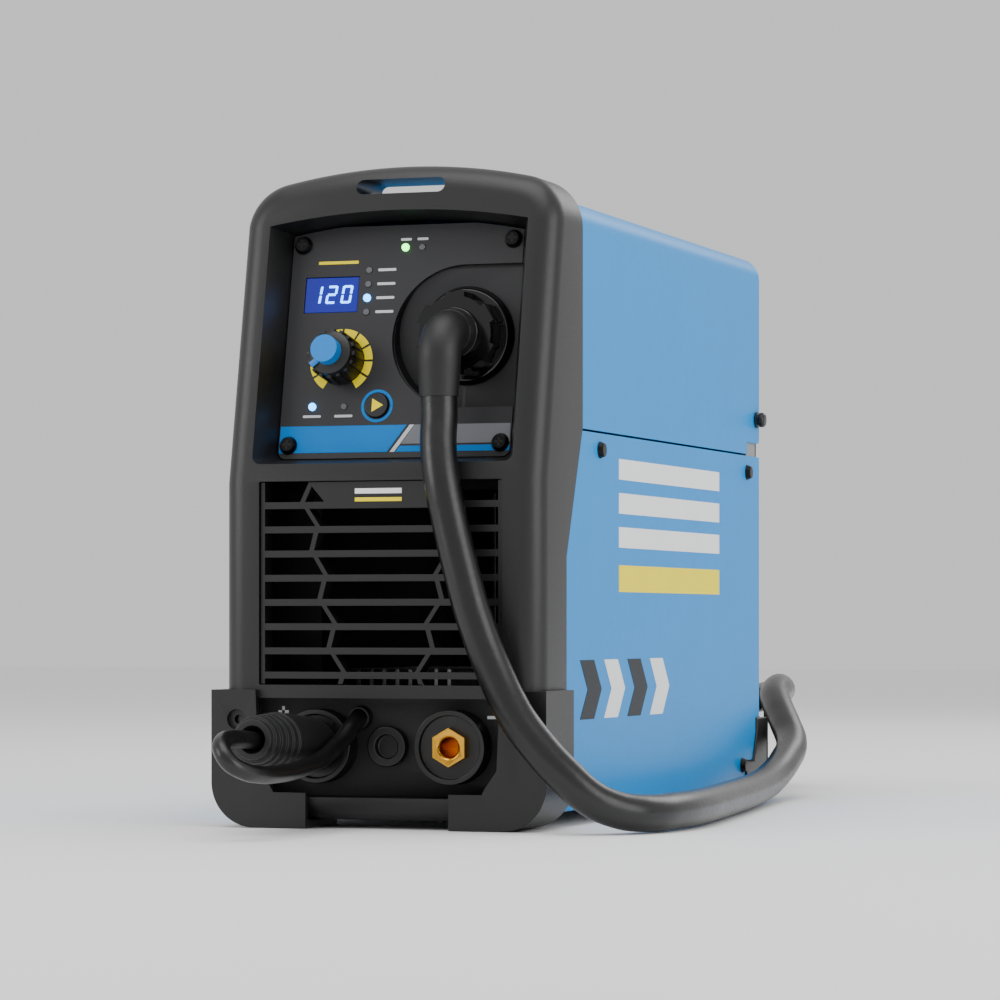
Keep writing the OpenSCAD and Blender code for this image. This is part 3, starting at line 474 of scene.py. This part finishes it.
def refined(node, material, width_mm=0.4, accents=(), segments=2):
    """A merged copy of a CAD node with eased edges; accents are (material, test of a face's middle)."""
    bm = bmesh.new()
    bm.from_mesh(frame["nodes"][node].data)
    bmesh.ops.remove_doubles(bm, verts=bm.verts, dist=0.01 * MM)
    bmesh.ops.dissolve_limit(bm, angle_limit=math.radians(0.6), verts=bm.verts, edges=bm.edges)
    for index, (_, test) in enumerate(accents, 1):
        for face in bm.faces:
            if test(face.calc_center_median()):
                face.material_index = index
    piece = object_from(bm, node + "_finished")
    for paint in [material] + [a[0] for a in accents]:
        piece.data.materials.append(paint)
    ease_edges(piece, width_mm * MM, segments)
    return settle(piece, material, BODY[node], [node])


# ----------------------------------------------------------- stage, cords


class WELDER_OT_stage(bpy.types.Operator):
    """Floor, soft lights and the camera"""

    bl_idname = "welder.stage"
    bl_label = "Stage"

    def execute(self, context):
        options = context.scene.welder_stage
        bm = bmesh.new()
        bmesh.ops.create_grid(bm, x_segments=2, y_segments=2, size=6)
        bmesh.ops.translate(bm, vec=(0, 0, FLOOR - 0.2 * MM), verts=bm.verts)
        floor = object_from(bm, "studio_floor")
        floor.data.materials.append(finish(
            "matt_studio_floor", options.floor_colour, roughness=0.75, grain_mm=6, bump=0.02, mottle=0.01))

        world = bpy.data.worlds.new("studio_air")
        context.scene.world = world
        world.use_nodes = True
        world.node_tree.nodes["Background"].inputs["Color"].default_value = (1, 1, 1, 1)
        world.node_tree.nodes["Background"].inputs["Strength"].default_value = 0.8

        aim = Vector((0, 0, 0.12))
        lights = (("overhead", (0.1, -0.5, 1.7), 1.4, 1.0), ("left_panel", (-1.5, -1.3, 0.8), 1.0, 0.75),
                  ("right_panel", (1.8, -0.6, 0.7), 1.2, 0.9), ("rear_rim", (0.6, 1.6, 1.2), 0.9, 0.5))
        for name, place, size, share in lights:
            lamp = bpy.data.lights.new(name, "AREA")
            lamp.size = size
            lamp.energy = options.key_power * share
            holder = bpy.data.objects.new(name, lamp)
            holder.location = place
            holder.rotation_euler = (aim - Vector(place)).to_track_quat("-Z", "Y").to_euler()
            context.scene.collection.objects.link(holder)

        camera = bpy.data.cameras.new("front_camera")
        camera.lens = options.camera_lens
        camera.sensor_width = 36
        camera.shift_y = 0.124
        camera.clip_end = 50
        eye = bpy.data.objects.new("front_camera", camera)
        eye.location = (0.6367, -1.881, 0.0870)
        eye.rotation_euler = Vector((-0.3239, 0.9461, 0)).to_track_quat("-Z", "Y").to_euler()
        context.scene.collection.objects.link(eye)
        context.scene.camera = eye
        return {"FINISHED"}


HOSE_ROUTE = (
    (30, -195, 191), (30.5, -196, 182), (31.5, -200, 168), (34.5, -203.5, 152), (38.5, -204.5, 134),
    (44.5, -206, 112), (51.5, -207, 89), (61, -208, 66), (72, -210, 46), (84, -211, 31),
    (96, -210, 18.5), (106, -206, 9), (116, -198, 3.5), (125, -185, 1.5), (130.7, -160, 1.5),
    (131.3, -125, 1.5), (127, -81, 1.5), (121, -33, 1.5), (114, 20, 1.5), (106, 77, 2),
    (99, 133, 5), (96, 174, 13), (92, 204, 22), (83, 224, 32), (75, 240, 40), (68, 258, 46.5),
    (64, 280, 50), (58, 308, 49), (46, 335, 46), (28, 361, 43))
COIL_CENTRE = (-60, 315)
COIL_START, COIL_TURNS = 45, 2.375
COIL_TOP, COIL_FOOT = 42, 1.5
HOSE_TAIL = ((-155, 290, 1.5), (-155, 265, 4), (-155, 240, 8), (-155, 190, 8.5), (-155, 132, 8.5))
LEAD_ROUTE = (
    (-14, -179, 43.5), (-14, -186, 42), (-14, -193, 39), (-14.5, -200, 35), (-15, -208, 31.5),
    (-14, -231, 25.5), (-14, -254, 22.5), (-14.5, -278, 21), (-17, -300, 21.5), (-20, -309, 23.5),
    (-24, -313.5, 27), (-28, -312, 32), (-31, -304, 35.5), (-32.5, -293, 36.5), (-33, -278, 36),
    (-33, -262, 35))


def cord_line(name, points, width):
    """A smooth open line through the points, as thick as the cord."""
    curve = bpy.data.curves.new(name, "CURVE")
    curve.dimensions = "3D"
    curve.bevel_depth = width / 2
    curve.bevel_resolution = 7
    curve.resolution_u = 6
    curve.use_fill_caps = True
    line = curve.splines.new("BEZIER")
    line.bezier_points.add(len(points) - 1)
    for knot, place in zip(line.bezier_points, points):
        knot.co = Vector(place) * MM
        knot.handle_left_type = knot.handle_right_type = "AUTO"
    piece = bpy.data.objects.new(name, curve)
    bpy.context.scene.collection.objects.link(piece)
    return piece


def coil_points(radius):
    steps = int(COIL_TURNS * 24)
    made = []
    for i in range(steps + 1):
        share = i / steps
        turn = math.radians(COIL_START + 360 * COIL_TURNS * share)
        made.append((COIL_CENTRE[0] + radius * math.cos(turn), COIL_CENTRE[1] + radius * math.sin(turn),
                     COIL_TOP + (COIL_FOOT - COIL_TOP) * share))
    return made


def coil_tie(angle, radius, hose, width):
    """A strap round the coil's section: a rounded band, thick as webbing."""
    low, high = FLOOR + 0.2 * MM, (COIL_TOP * MM + hose / 2 + 1.2 * MM)
    out = hose + 3 * MM
    band = oblong(out, high - low, 7 * MM, radius, (low + high) / 2)
    inner = oblong(out - 3 * MM, high - low - 3 * MM, 5.5 * MM, radius, (low + high) / 2)
    centre = Vector((COIL_CENTRE[0] * MM, COIL_CENTRE[1] * MM, 0))
    turn = Matrix.Rotation(math.radians(angle), 3, "Z")

    def at(points, side):
        return [centre + turn @ Vector((a, side * width / 2, b)) for a, b in points]

    bm = loft([at(inner, -1), at(band, -1), at(band, 1), at(inner, 1)])
    caps = [f for f in bm.faces if len(f.verts) > 4]
    bmesh.ops.delete(bm, geom=caps, context="FACES_ONLY")
    ends = [e for e in bm.edges if e.is_boundary]
    bmesh.ops.bridge_loops(bm, edges=ends)
    bmesh.ops.recalc_face_normals(bm, faces=bm.faces)
    piece = object_from(bm, f"coil_tie_{angle}")
    ease_edges(piece, 0.3 * MM)
    # Webbing: matt, with a coarse weave-like relief.
    webbing = finish("woven_strap", linear("#202022"), roughness=0.8, grain_mm=0.8, bump=0.9)
    return settle(piece, webbing, "root")


class WELDER_OT_torch(bpy.types.Operator):
    """Torch handle with its ribs, trigger, neck and nozzle"""

    bl_idname = "welder.torch"
    bl_label = "Torch"

    def execute(self, context):
        refined("torch_handle", black_nylon(), 1.2, segments=3)
        refined("torch_trigger", signal_red(), 0.8, segments=3)
        refined("torch_neck", ground_steel(), 0.2)
        refined("torch_nozzle", nozzle_copper(), 0.5)
        low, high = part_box("torch_handle")
        axis = Vector(((low.x + high.x) / 2, 0, (low.z + high.z) / 2))
        radius = (high.x - low.x) / 2
        for index in range(7):
            middle = high.y - (30 + 5 * index) * MM
            bm = bmesh.new()
            for side, reach in ((-1.3, -1.7), (-0.6, -0.2), (0.6, -0.2), (1.3, -1.7)):
                bmesh.ops.create_circle(
                    bm, segments=48, radius=radius + reach * MM,
                    matrix=Matrix.Translation(axis + Vector((0, middle + side * MM, 0)))
                    @ Matrix.Rotation(math.pi / 2, 4, "X"))
            bmesh.ops.bridge_loops(bm, edges=bm.edges)
            bmesh.ops.holes_fill(bm, edges=bm.edges)
            bmesh.ops.recalc_face_normals(bm, faces=bm.faces)
            piece = object_from(bm, f"handle_rib_{index}")
            ease_edges(piece, 0)
            settle(piece, soft_rubber(), "root")
        return {"FINISHED"}


class WELDER_OT_cords(bpy.types.Operator):
    """Gun hose with its coil and straps, and the polarity lead with its plug"""

    bl_idname = "welder.cords"
    bl_label = "Hose and lead"

    def execute(self, context):
        options = context.scene.welder_hose
        points = list(HOSE_ROUTE) + coil_points(options.coil_radius / MM) + list(HOSE_TAIL)
        hose = cord_line("gun_hose_line", points, options.hose_width)
        settle(hose, cord_rubber(), "root", ["gun_hose", "gun_hose_coil"])
        ties = [coil_tie(angle, options.coil_radius, options.hose_width, options.tie_width)
                for angle in (20, 140, 250)]

        lead = cord_line("polarity_lead_line", LEAD_ROUTE, options.lead_width)
        settle(lead, cord_rubber(), "root", ["polarity_lead"])
        plug = refined("polarity_plug", soft_rubber(), 0.5)
        return {"FINISHED"}


# ---------------------------------------------------------- front moulding


def front_outline():
    crown, corner, rail = 280 * MM, 23 * MM, 18 * MM
    cz = CROWN - crown
    cx = HALF - corner
    ccz = cz + math.sqrt((crown - corner) ** 2 - cx ** 2)
    meet = math.degrees(math.atan2(ccz - cz, cx))
    return (arc(HALF - rail, RAIL + rail, rail, -90, 0, 14) + arc(cx, ccz, corner, 0, meet, 14)
            + arc(0, cz, crown, meet, 180 - meet, 26) + arc(-cx, ccz, corner, 180 - meet, 180, 14)
            + arc(-(HALF - rail), RAIL + rail, rail, 180, 270, 14) + [(-(HALF - rail), RAIL)])


def window_ring(width, foot, top, depth):
    """The arched window's outline at a depth behind the face, every size in mm."""
    width, v, top, depth = width * MM, foot * MM, top * MM, depth * MM
    corner, rise = 4 * MM, 6 * MM
    radius = (width ** 2 / 4 + rise ** 2) / (2 * rise)
    edge = math.degrees(math.asin(width / 2 / radius))
    outline = (arc(width / 2 - corner, v + corner, corner, -90, 0, 6)
               + [(width / 2, v + corner)]
               + arc(0, top + rise - radius, radius, 90 - edge, 90 + edge, 20)
               + [(-width / 2, top)] + arc(-width / 2 + corner, v + corner, corner, 180, 270, 6)
               + [(-width / 2 + corner, v)])
    return [on_face(x, z, depth) for x, z in outline]


def grille_print(name, points, material):
    """A thin printed shape on the grille's upper plate, in mm across and up."""
    face = GRILLE[0].y
    bm = across([(x * MM, z * MM) for x, z in points], face - 0.12 * MM, face + 0.02 * MM)
    return settle(object_from(bm, name), material, "root")


class WELDER_OT_front(bpy.types.Operator):
    """Moulded front with its rounded rim, window, grille opening, recess and strap slot"""

    bl_idname = "welder.front"
    bl_label = "Moulded front"

    def execute(self, context):
        options = context.scene.welder_case
        low_depth, kink_back, inner = 38 * MM, SEAM - 61 * MM, HALF - 3 * MM
        far = 20 * MM
        bm = across(front_outline(), FRONT, BEZEL_BACK)
        bmesh.ops.bisect_plane(
            bm, geom=bm.verts[:] + bm.edges[:] + bm.faces[:], plane_co=(0, FRONT, KINK),
            plane_no=(0, -math.cos(LEAN), math.sin(LEAN)), clear_outer=True)
        bmesh.ops.holes_fill(bm, edges=[e for e in bm.edges if e.is_boundary])
        bmesh.ops.recalc_face_normals(bm, faces=bm.faces)
        rim = [e for e in bm.edges if len(e.link_faces) == 2
               and sum(f.normal.y < -0.9 for f in e.link_faces) == 1]
        bmesh.ops.bevel(bm, geom=rim, offset=options.front_round, offset_type="OFFSET", segments=8,
                        profile=0.5, affect="EDGES", material=-1, clamp_overlap=False)
        front = object_from(bm, "front_moulding")

        # The side walls are shallow below and reach back to the lid above.
        combine(front, sideways([(FRONT + low_depth, RAIL - far), (FRONT + low_depth, kink_back),
                                 (BEZEL_BACK, SEAM), (BEZEL_BACK + far, SEAM),
                                 (BEZEL_BACK + far, RAIL - far)], -WIDE, WIDE))
        # The inside is hollow behind a skin that follows the leaned face.
        skin, top = 5.5 * MM, 310 * MM
        hollow_half = [(inner, 6.8 * MM), (inner, 260 * MM), (inner - 9 * MM, 276 * MM),
                       (inner - 12 * MM, 283 * MM)]
        outline = hollow_half + [(-x, z) for x, z in reversed(hollow_half)]
        cavity = object_from(across(outline, FRONT, BEZEL_BACK + far / 2), "cavity")
        leaned_back = FRONT + skin + (top - KINK) * math.tan(LEAN)
        combine(cavity, sideways([(FRONT + skin, RAIL), (FRONT + skin, KINK), (leaned_back, top),
                                  (BEZEL_BACK + far, top), (BEZEL_BACK + far, RAIL)], -WIDE, WIDE),
                "INTERSECT")
        hollow = bmesh.new()
        hollow.from_mesh(cavity.data)
        bpy.data.objects.remove(cavity)
        combine(front, hollow)

        # The window is a collar, then a cut that narrows from the face down to the panel.
        collar = [window_ring(133, 5.5, 125.5, depth) for depth in (2, 17)]
        combine(front, loft(collar), "UNION")
        combine(front, loft([window_ring(129.7, 7.3, 123.4, -2), window_ring(115.8, 13.6, 123.4, 15),
                             window_ring(115.8, 13.6, 123.4, 20)]))
        # Openings straight through: the grille's with play round it, the recess and the strap slot.
        play = 0.8 * MM
        grille_wide, grille_tall = GRILLE[1].x * 2 + play, GRILLE[1].z - GRILLE[0].z + play
        openings = (
            (oblong(grille_wide, grille_tall, play, 0, (GRILLE[1].z + GRILLE[0].z) / 2), FRONT + 37 * MM),
            (oblong(130 * MM, 45.9 * MM, 1.5 * MM, 0, 29.75 * MM), FRONT + 37 * MM),
            (oblong(44 * MM, 7 * MM, 3.4 * MM, 0, 291.8 * MM), BEZEL_BACK + far / 2))
        for opening, back in openings:
            combine(front, across(opening, FRONT - far / 2, back))
        ease_edges(front, options.small_edge)
        settle(front, front_abs(), "root", ["front_bezel"])

        refined("grille", front_abs(), 0.5)
        for name, low, high, ink in (
                ("grille_line_white", 147.2, 149.6, print_ink("white_print", WHITE_INK)),
                ("grille_line_yellow", 143.6, 145.4, print_ink("yellow_print", options.print_yellow))):
            grille_print(name, [(-12.5, low), (10.5, low), (10.5, high), (-12.5, high)], ink)
        for node in ("boot_front_left", "boot_front_right"):
            refined(node, front_abs(), 1.4, segments=4)
        for node in ("boot_rear_left", "boot_rear_right"):
            refined(node, front_abs(), 0.8, segments=3)
        return {"FINISHED"}


# ------------------------------------------------------------ control face


def printed(name, points, material, body="root", lift=0.12 * MM, depth=PANEL_DEPTH):
    """A thin printed or inlaid shape on the control panel, in mm across and up the slope."""
    bm = slab([(x * MM, v * MM) for x, v in points], lambda x, v: on_face(x, v, depth - lift), INWARD * lift)
    piece = object_from(bm, name)
    return settle(piece, material, body)


def ring_piece(cx, cy, inside, outside, start, end, steps):
    outer = arc(cx, cy, outside, start, end, steps) + arc(cx, cy, outside, end, end + 1, 1)
    inner = arc(cx, cy, inside, end, start, steps) + arc(cx, cy, inside, start, start + 1, 1)
    return outer + inner


def digit_bars(left, base, width, height, stroke, lit_bars):
    """Bars of a seven-bar figure: a top, b and c right, d foot, e and f left, g middle."""
    half = height / 2
    lean = 0.12
    flat = {"a": base + height - stroke, "g": base + half - stroke / 2, "d": base}
    made = []
    for bar in lit_bars:
        if bar in flat:
            x0, x1, y0, y1 = left + stroke * 0.6, left + width - stroke * 0.6, flat[bar], flat[bar] + stroke
        else:
            x0 = left if bar in "ef" else left + width - stroke
            x1 = x0 + stroke
            y0 = base + (half if bar in "bf" else 0) + stroke * 0.35
            y1 = y0 + half - stroke * 0.7
        made.append([(x + lean * (y - base), y) for x, y in ((x0, y0), (x1, y0), (x1, y1), (x0, y1))])
    return made


FIGURES = {"1": "bc", "2": "abged", "0": "abcdef"}
SCREWS = ((-52.5, 20.5), (52.5, 20.5), (-52.5, 118), (52.5, 118))
KNOB = (-29, 61)
BUTTON = (-9.5, 39)
LAMPS = ((-18.3, 105), (-18.3, 98.2), (-18.3, 91.4), (-18.3, 84.6), (-0.8, 115.5), (7.5, 115.5),
         (-41.8, 39), (-26, 39))
# Places in LAMPS of the lamps that are on, and their colours.
LIT = {2: "#39A9FF", 4: "#5BFF6A", 6: "#39A9FF"}


class WELDER_OT_controls(bpy.types.Operator):
    """Control panel, its print, display, lamps, knob, button and screws"""

    bl_idname = "welder.controls"
    bl_label = "Control face"

    def execute(self, context):
        options = context.scene.welder_case
        blue = print_ink("blue_print", options.print_blue)
        yellow = print_ink("yellow_print", options.print_yellow)
        pale = print_ink("pale_print", linear("#C9CBCE"))
        dim = print_ink("grey_print", linear("#74767B"))
        refined("control_panel", panel_film(), 0.25)
        pocket_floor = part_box("gun_pocket")[1].y - 4 * MM
        # Painted shade: the pocket's walls are near-black to stand for their shadow; its floor keeps the
        # film's grey.
        refined("gun_pocket", painted_shade_black(), 0.5,
                accents=[(panel_film(), lambda middle: middle.y > pocket_floor)])
        refined("display_window", smoked_lens(), 0.3)
        refined("led_lenses", clear_lens(), 0.3)
        refined("panel_screws", black_screw(), 0.3)

        for index in range(10):
            start = -60 + 30 * index + 2.2
            printed(f"scale_step_{index}", ring_piece(*KNOB, 11.6, 15.6, start, start + 25.6, 6), yellow)
        printed("band_blue", [(-57, 16.8), (-3, 16.8), (6, 29.7), (-57, 29.7)], blue)
        printed("band_line", [(-1.6, 16.8), (0.6, 16.8), (9.6, 29.7), (7.4, 29.7)], pale)
        printed("band_grey", [(3.6, 20.6), (57, 20.6), (57, 29.7), (9.9, 29.7)], dim)
        printed("band_stripe", [(1.2, 16.8), (57, 16.8), (57, 19.6), (3.2, 19.6)], blue)
        printed("plate_line", [(-44, 108.4), (-24, 108.4), (-24, 109.8), (-44, 109.8)], yellow)
        printed("button_ring", ring_piece(*BUTTON, 6.5, 7.9, 0, 359.5, 40), blue)
        printed("button_arrow", [(BUTTON[0] - 2, BUTTON[1] - 3.2), (BUTTON[0] + 3.6, BUTTON[1]),
                                 (BUTTON[0] - 2, BUTTON[1] + 3.2)], yellow, "button",
                depth=PANEL_DEPTH - 1.55 * MM)
        for index, (x, v) in enumerate(LAMPS[:4]):
            printed(f"lamp_mark_{index}", oblong(9, 1.3, 0.5, x + 9, v), pale)
        for index, (x, v) in enumerate(LAMPS[4:6]):
            printed(f"lamp_mark_top_{index}", oblong(5.4, 1.2, 0.5, x, v + 4), pale)
        for index, (x, v) in enumerate(LAMPS[6:]):
            printed(f"lamp_mark_low_{index}", oblong(9, 1.2, 0.5, x, v - 4.6), pale)

        glow = lit("blue_figures", linear("#5FA8FF"), 5.0)
        for place, figure in enumerate("120"):
            bars = digit_bars(-47.2 + 7.6 * place, 89.2, 5.2, 8.8, 1.1, FIGURES[figure])
            for bar, shape in enumerate(bars):
                printed(f"figure_{place}_{bar}", shape, glow, depth=PANEL_DEPTH + 0.25 * MM)
        for index, code in LIT.items():
            x, v = LAMPS[index]
            bm = bmesh.new()
            bmesh.ops.create_uvsphere(bm, u_segments=20, v_segments=12, radius=1.9 * MM)
            bmesh.ops.scale(bm, vec=(1, 0.7, 1), verts=bm.verts)
            bmesh.ops.translate(bm, vec=on_face(x * MM, v * MM, PANEL_DEPTH - 0.4 * MM), verts=bm.verts)
            dome = object_from(bm, f"lit_lamp_{index}")
            ease_edges(dome, 0)
            settle(dome, lit(f"glow_{code[1:].lower()}", linear(code), 7.0), "root")

        cap = on_face(KNOB[0] * MM, KNOB[1] * MM, PANEL_DEPTH - 17.9 * MM)
        # The knob's outer end is its smooth blue cap; the rest is black nylon.
        body = finish("knob_nylon", linear("#0B0B0C"), roughness=0.42, grain_mm=0.9, bump=0.2)
        blue_cap = finish("blue_knob_cap", options.print_blue, roughness=0.34, grain_mm=1, bump=0.1)
        refined("control_knob", body, 0.35,
                accents=[(blue_cap, lambda middle: (middle - cap).dot(INWARD) < 0)])
        # The button is a moulded cap, a little darker than the film round it.
        button = finish("button_cap", linear("#17181B"), roughness=0.4, grain_mm=1, bump=0.1)
        refined("mode_button", button, 0.5)
        for index, (x, v) in enumerate(SCREWS):
            for turn, (w, h) in enumerate(((4.2, 1.0), (1.0, 4.2))):
                # Painted shade: each screw's cross slot is a flat near-black cross standing for the shade in
                # the slot.
                printed(f"screw_cross_{index}_{turn}", oblong(w, h, 0.3, x, v, 2), painted_shade_black(),
                        depth=PANEL_DEPTH - 2.5 * MM)
        return {"FINISHED"}


class WELDER_OT_gun_union(bpy.types.Operator):
    """Gun adaptor, lobed union nut and the rubber elbow"""

    bl_idname = "welder.gun_union"
    bl_label = "Gun union"

    def execute(self, context):
        refined("gun_adaptor", gloss_nylon(), 0.9, segments=3)
        refined("gun_lock_nut", gloss_nylon(), 1.2, segments=3)
        refined("gun_elbow", soft_rubber(), 0.6)
        return {"FINISHED"}


# -------------------------------------------------------- connector recess


class WELDER_OT_connectors(bpy.types.Operator):
    """Connector wall, output sockets, inserts, blanking plug and polarity marks"""

    bl_idname = "welder.connectors"
    bl_label = "Output sockets"

    def execute(self, context):
        # Painted shade: the recess wall is matt near-black so that the recess reads as a deep shadow.
        refined("connector_wall", painted_shade_black(), 0.4)
        refined("socket_bodies", black_nylon(), 0.5)
        refined("socket_inserts", turned_brass(), 0.3)
        refined("blanking_plug", black_nylon(), 0.8, segments=3)
        refined("lead_grommet", soft_rubber(), 0.4)
        white = print_ink("white_print", WHITE_INK)
        marks = (("plus_across", -53, 46, 5.2, 1.4), ("plus_upright", -53, 46, 1.4, 5.2),
                 ("minus", 50.5, 44, 5.2, 1.4))
        for name, x, z, w, h in marks:
            bm = across(oblong(w * MM, h * MM, 0.2 * MM, x * MM, z * MM, 2), WALL_Y - 0.15 * MM, WALL_Y)
            settle(object_from(bm, "mark_" + name), white, "root")
        return {"FINISHED"}


# ------------------------------------------------------------------- case


def side_print(name, points, material, side):
    """A thin printed shape on a side sheet, in mm from the front and up."""
    x = SHEET_X * side
    bm = sideways([(FRONT + y * MM, z * MM) for y, z in points], x, x + 0.15 * MM * side)
    return settle(object_from(bm, name), material, "root")


class WELDER_OT_case(bpy.types.Operator):
    """Lid, side sheets with their plain stripes, pan, shelf, screws and pivots"""

    bl_idname = "welder.case"
    bl_label = "Sheet case"

    def execute(self, context):
        refined("lid", powder_coat(), 0.35)
        inner_face = SHEET_X - 1 * MM
        for node in ("side_sheet_left", "side_sheet_right"):
            # Painted shade: the sheets' inner faces are near-black to stand for the shade inside the case.
            refined(node, powder_coat(), 0.35,
                    accents=[(painted_shade_black(), lambda middle: abs(middle.x) < inner_face)])
        for node in ("base_pan", "shelf", "pivot_brackets"):
            refined(node, zinc_sheet(), 0.3)
        # Painted shade: the bulkhead behind the grille is near-black to stand for the shade inside the case.
        refined("front_bulkhead", painted_shade_black(), 0.3)
        refined("lid_pivots", black_nylon(), 0.3)
        refined("case_screws", black_screw(), 0.4)

        white = print_ink("white_print", WHITE_INK)
        yellow = print_ink("yellow_print", context.scene.welder_case.print_yellow)
        dark = print_ink("dark_side_print", linear("#20242A"))
        for side, word in ((1, "right"), (-1, "left")):
            for index, (low, high) in enumerate(((124, 134), (140.5, 150.5), (157, 167))):
                stripe = [(126, low), (305, low), (305, high), (126, high)]
                side_print(f"side_stripe_{word}_{index}", stripe, white, side)
            bar = [(126, 102.5), (305, 102.5), (305, 115.5), (126, 115.5)]
            side_print(f"side_bar_{word}", bar, yellow, side)
            for index in range(4):
                y = 64 + index * 38
                side_print(f"side_chevron_{word}_{index}",
                           [(y, 42), (y + 22, 42), (y + 34, 56), (y + 22, 70), (y, 70), (y + 12, 56)],
                           dark if index % 2 == 0 else white, side)
        return {"FINISHED"}


# ------------------------------------------------------------------- rear


class WELDER_OT_rear(bpy.types.Operator):
    """Rear panel with fan, switch, mains gland and gas inlet"""

    bl_idname = "welder.rear"
    bl_label = "Rear panel"

    def execute(self, context):
        refined("rear_panel", front_abs(), 0.5)
        refined("fan_frame", black_nylon(), 0.5)
        refined("fan_rotor", black_nylon(), 0.2)
        refined("switch_bezel", black_nylon(), 0.4)
        refined("switch_rocker", signal_red(), 0.6, segments=3)
        refined("mains_gland", black_nylon(), 0.4)
        refined("gas_inlet", turned_brass(), 0.2)
        return {"FINISHED"}


# ----------------------------------------------------------------- inside


class WELDER_OT_inside(bpy.types.Operator):
    """Inverter, transformer, wire feeder and spool"""

    bl_idname = "welder.inside"
    bl_label = "Inside"

    def execute(self, context):
        board_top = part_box("heatsink")[0].z + 0.1 * MM
        # Capacitors: shrink sleeve, dark blue and fairly glossy.
        sleeve = finish("capacitor_sleeve", linear("#1B2B55"), roughness=0.35, grain_mm=2, bump=0.05)
        refined("inverter_board", circuit_green(), 0.2,
                accents=[(sleeve, lambda middle: middle.z > board_top)])
        refined("heatsink", bare_aluminium(), 0.2)
        refined("transformer", varnished_winding(), 0.5)
        refined("feeder_plate", bare_aluminium(), 0.3)
        refined("feeder_motor", motor_enamel(), 0.6)
        refined("drive_roll", ground_steel(), 0.2)
        refined("pressure_arm", black_nylon(), 0.4)
        refined("pressure_roller", ground_steel(), 0.2)
        refined("tension_knob", black_nylon(), 0.4)
        refined("spool_holder", black_nylon(), 0.4)
        refined("wire_spool", spool_abs(), 0.4)
        refined("spool_wire", copper_wire(), 0.2)
        refined("spool_nut", black_nylon(), 0.4)
        return {"FINISHED"}


# ----------------------------------------------------------------- add-on

STEPS = (WELDER_OT_stage, WELDER_OT_torch, WELDER_OT_cords, WELDER_OT_front, WELDER_OT_controls,
         WELDER_OT_gun_union, WELDER_OT_connectors, WELDER_OT_case, WELDER_OT_rear, WELDER_OT_inside)


class WELDER_PT_panel(bpy.types.Panel):
    """The welder's settings and steps in the sidebar"""

    bl_idname = "WELDER_PT_panel"
    bl_label = "Welder"
    bl_space_type = "VIEW_3D"
    bl_region_type = "UI"
    bl_category = "Welder"

    def draw(self, context):
        for group in (context.scene.welder_case, context.scene.welder_hose, context.scene.welder_stage):
            box = self.layout.box()
            for key in group.__annotations__:
                box.prop(group, key)
        for step in STEPS:
            self.layout.operator(step.bl_idname)


CLASSES = (WelderCaseSettings, WelderHoseSettings, WelderStageSettings) + STEPS + (WELDER_PT_panel,)


def register():
    for each in CLASSES:
        bpy.utils.register_class(each)
    bpy.types.Scene.welder_case = bpy.props.PointerProperty(type=WelderCaseSettings)
    bpy.types.Scene.welder_hose = bpy.props.PointerProperty(type=WelderHoseSettings)
    bpy.types.Scene.welder_stage = bpy.props.PointerProperty(type=WelderStageSettings)


def unregister():
    del bpy.types.Scene.welder_stage
    del bpy.types.Scene.welder_hose
    del bpy.types.Scene.welder_case
    for each in reversed(CLASSES):
        bpy.utils.unregister_class(each)


def main():
    register()
    for step in STEPS:
        group, name = step.bl_idname.split(".")
        getattr(getattr(bpy.ops, group), name)()
    bpy.context.view_layer.update()


if __name__ == "__main__":
    main()
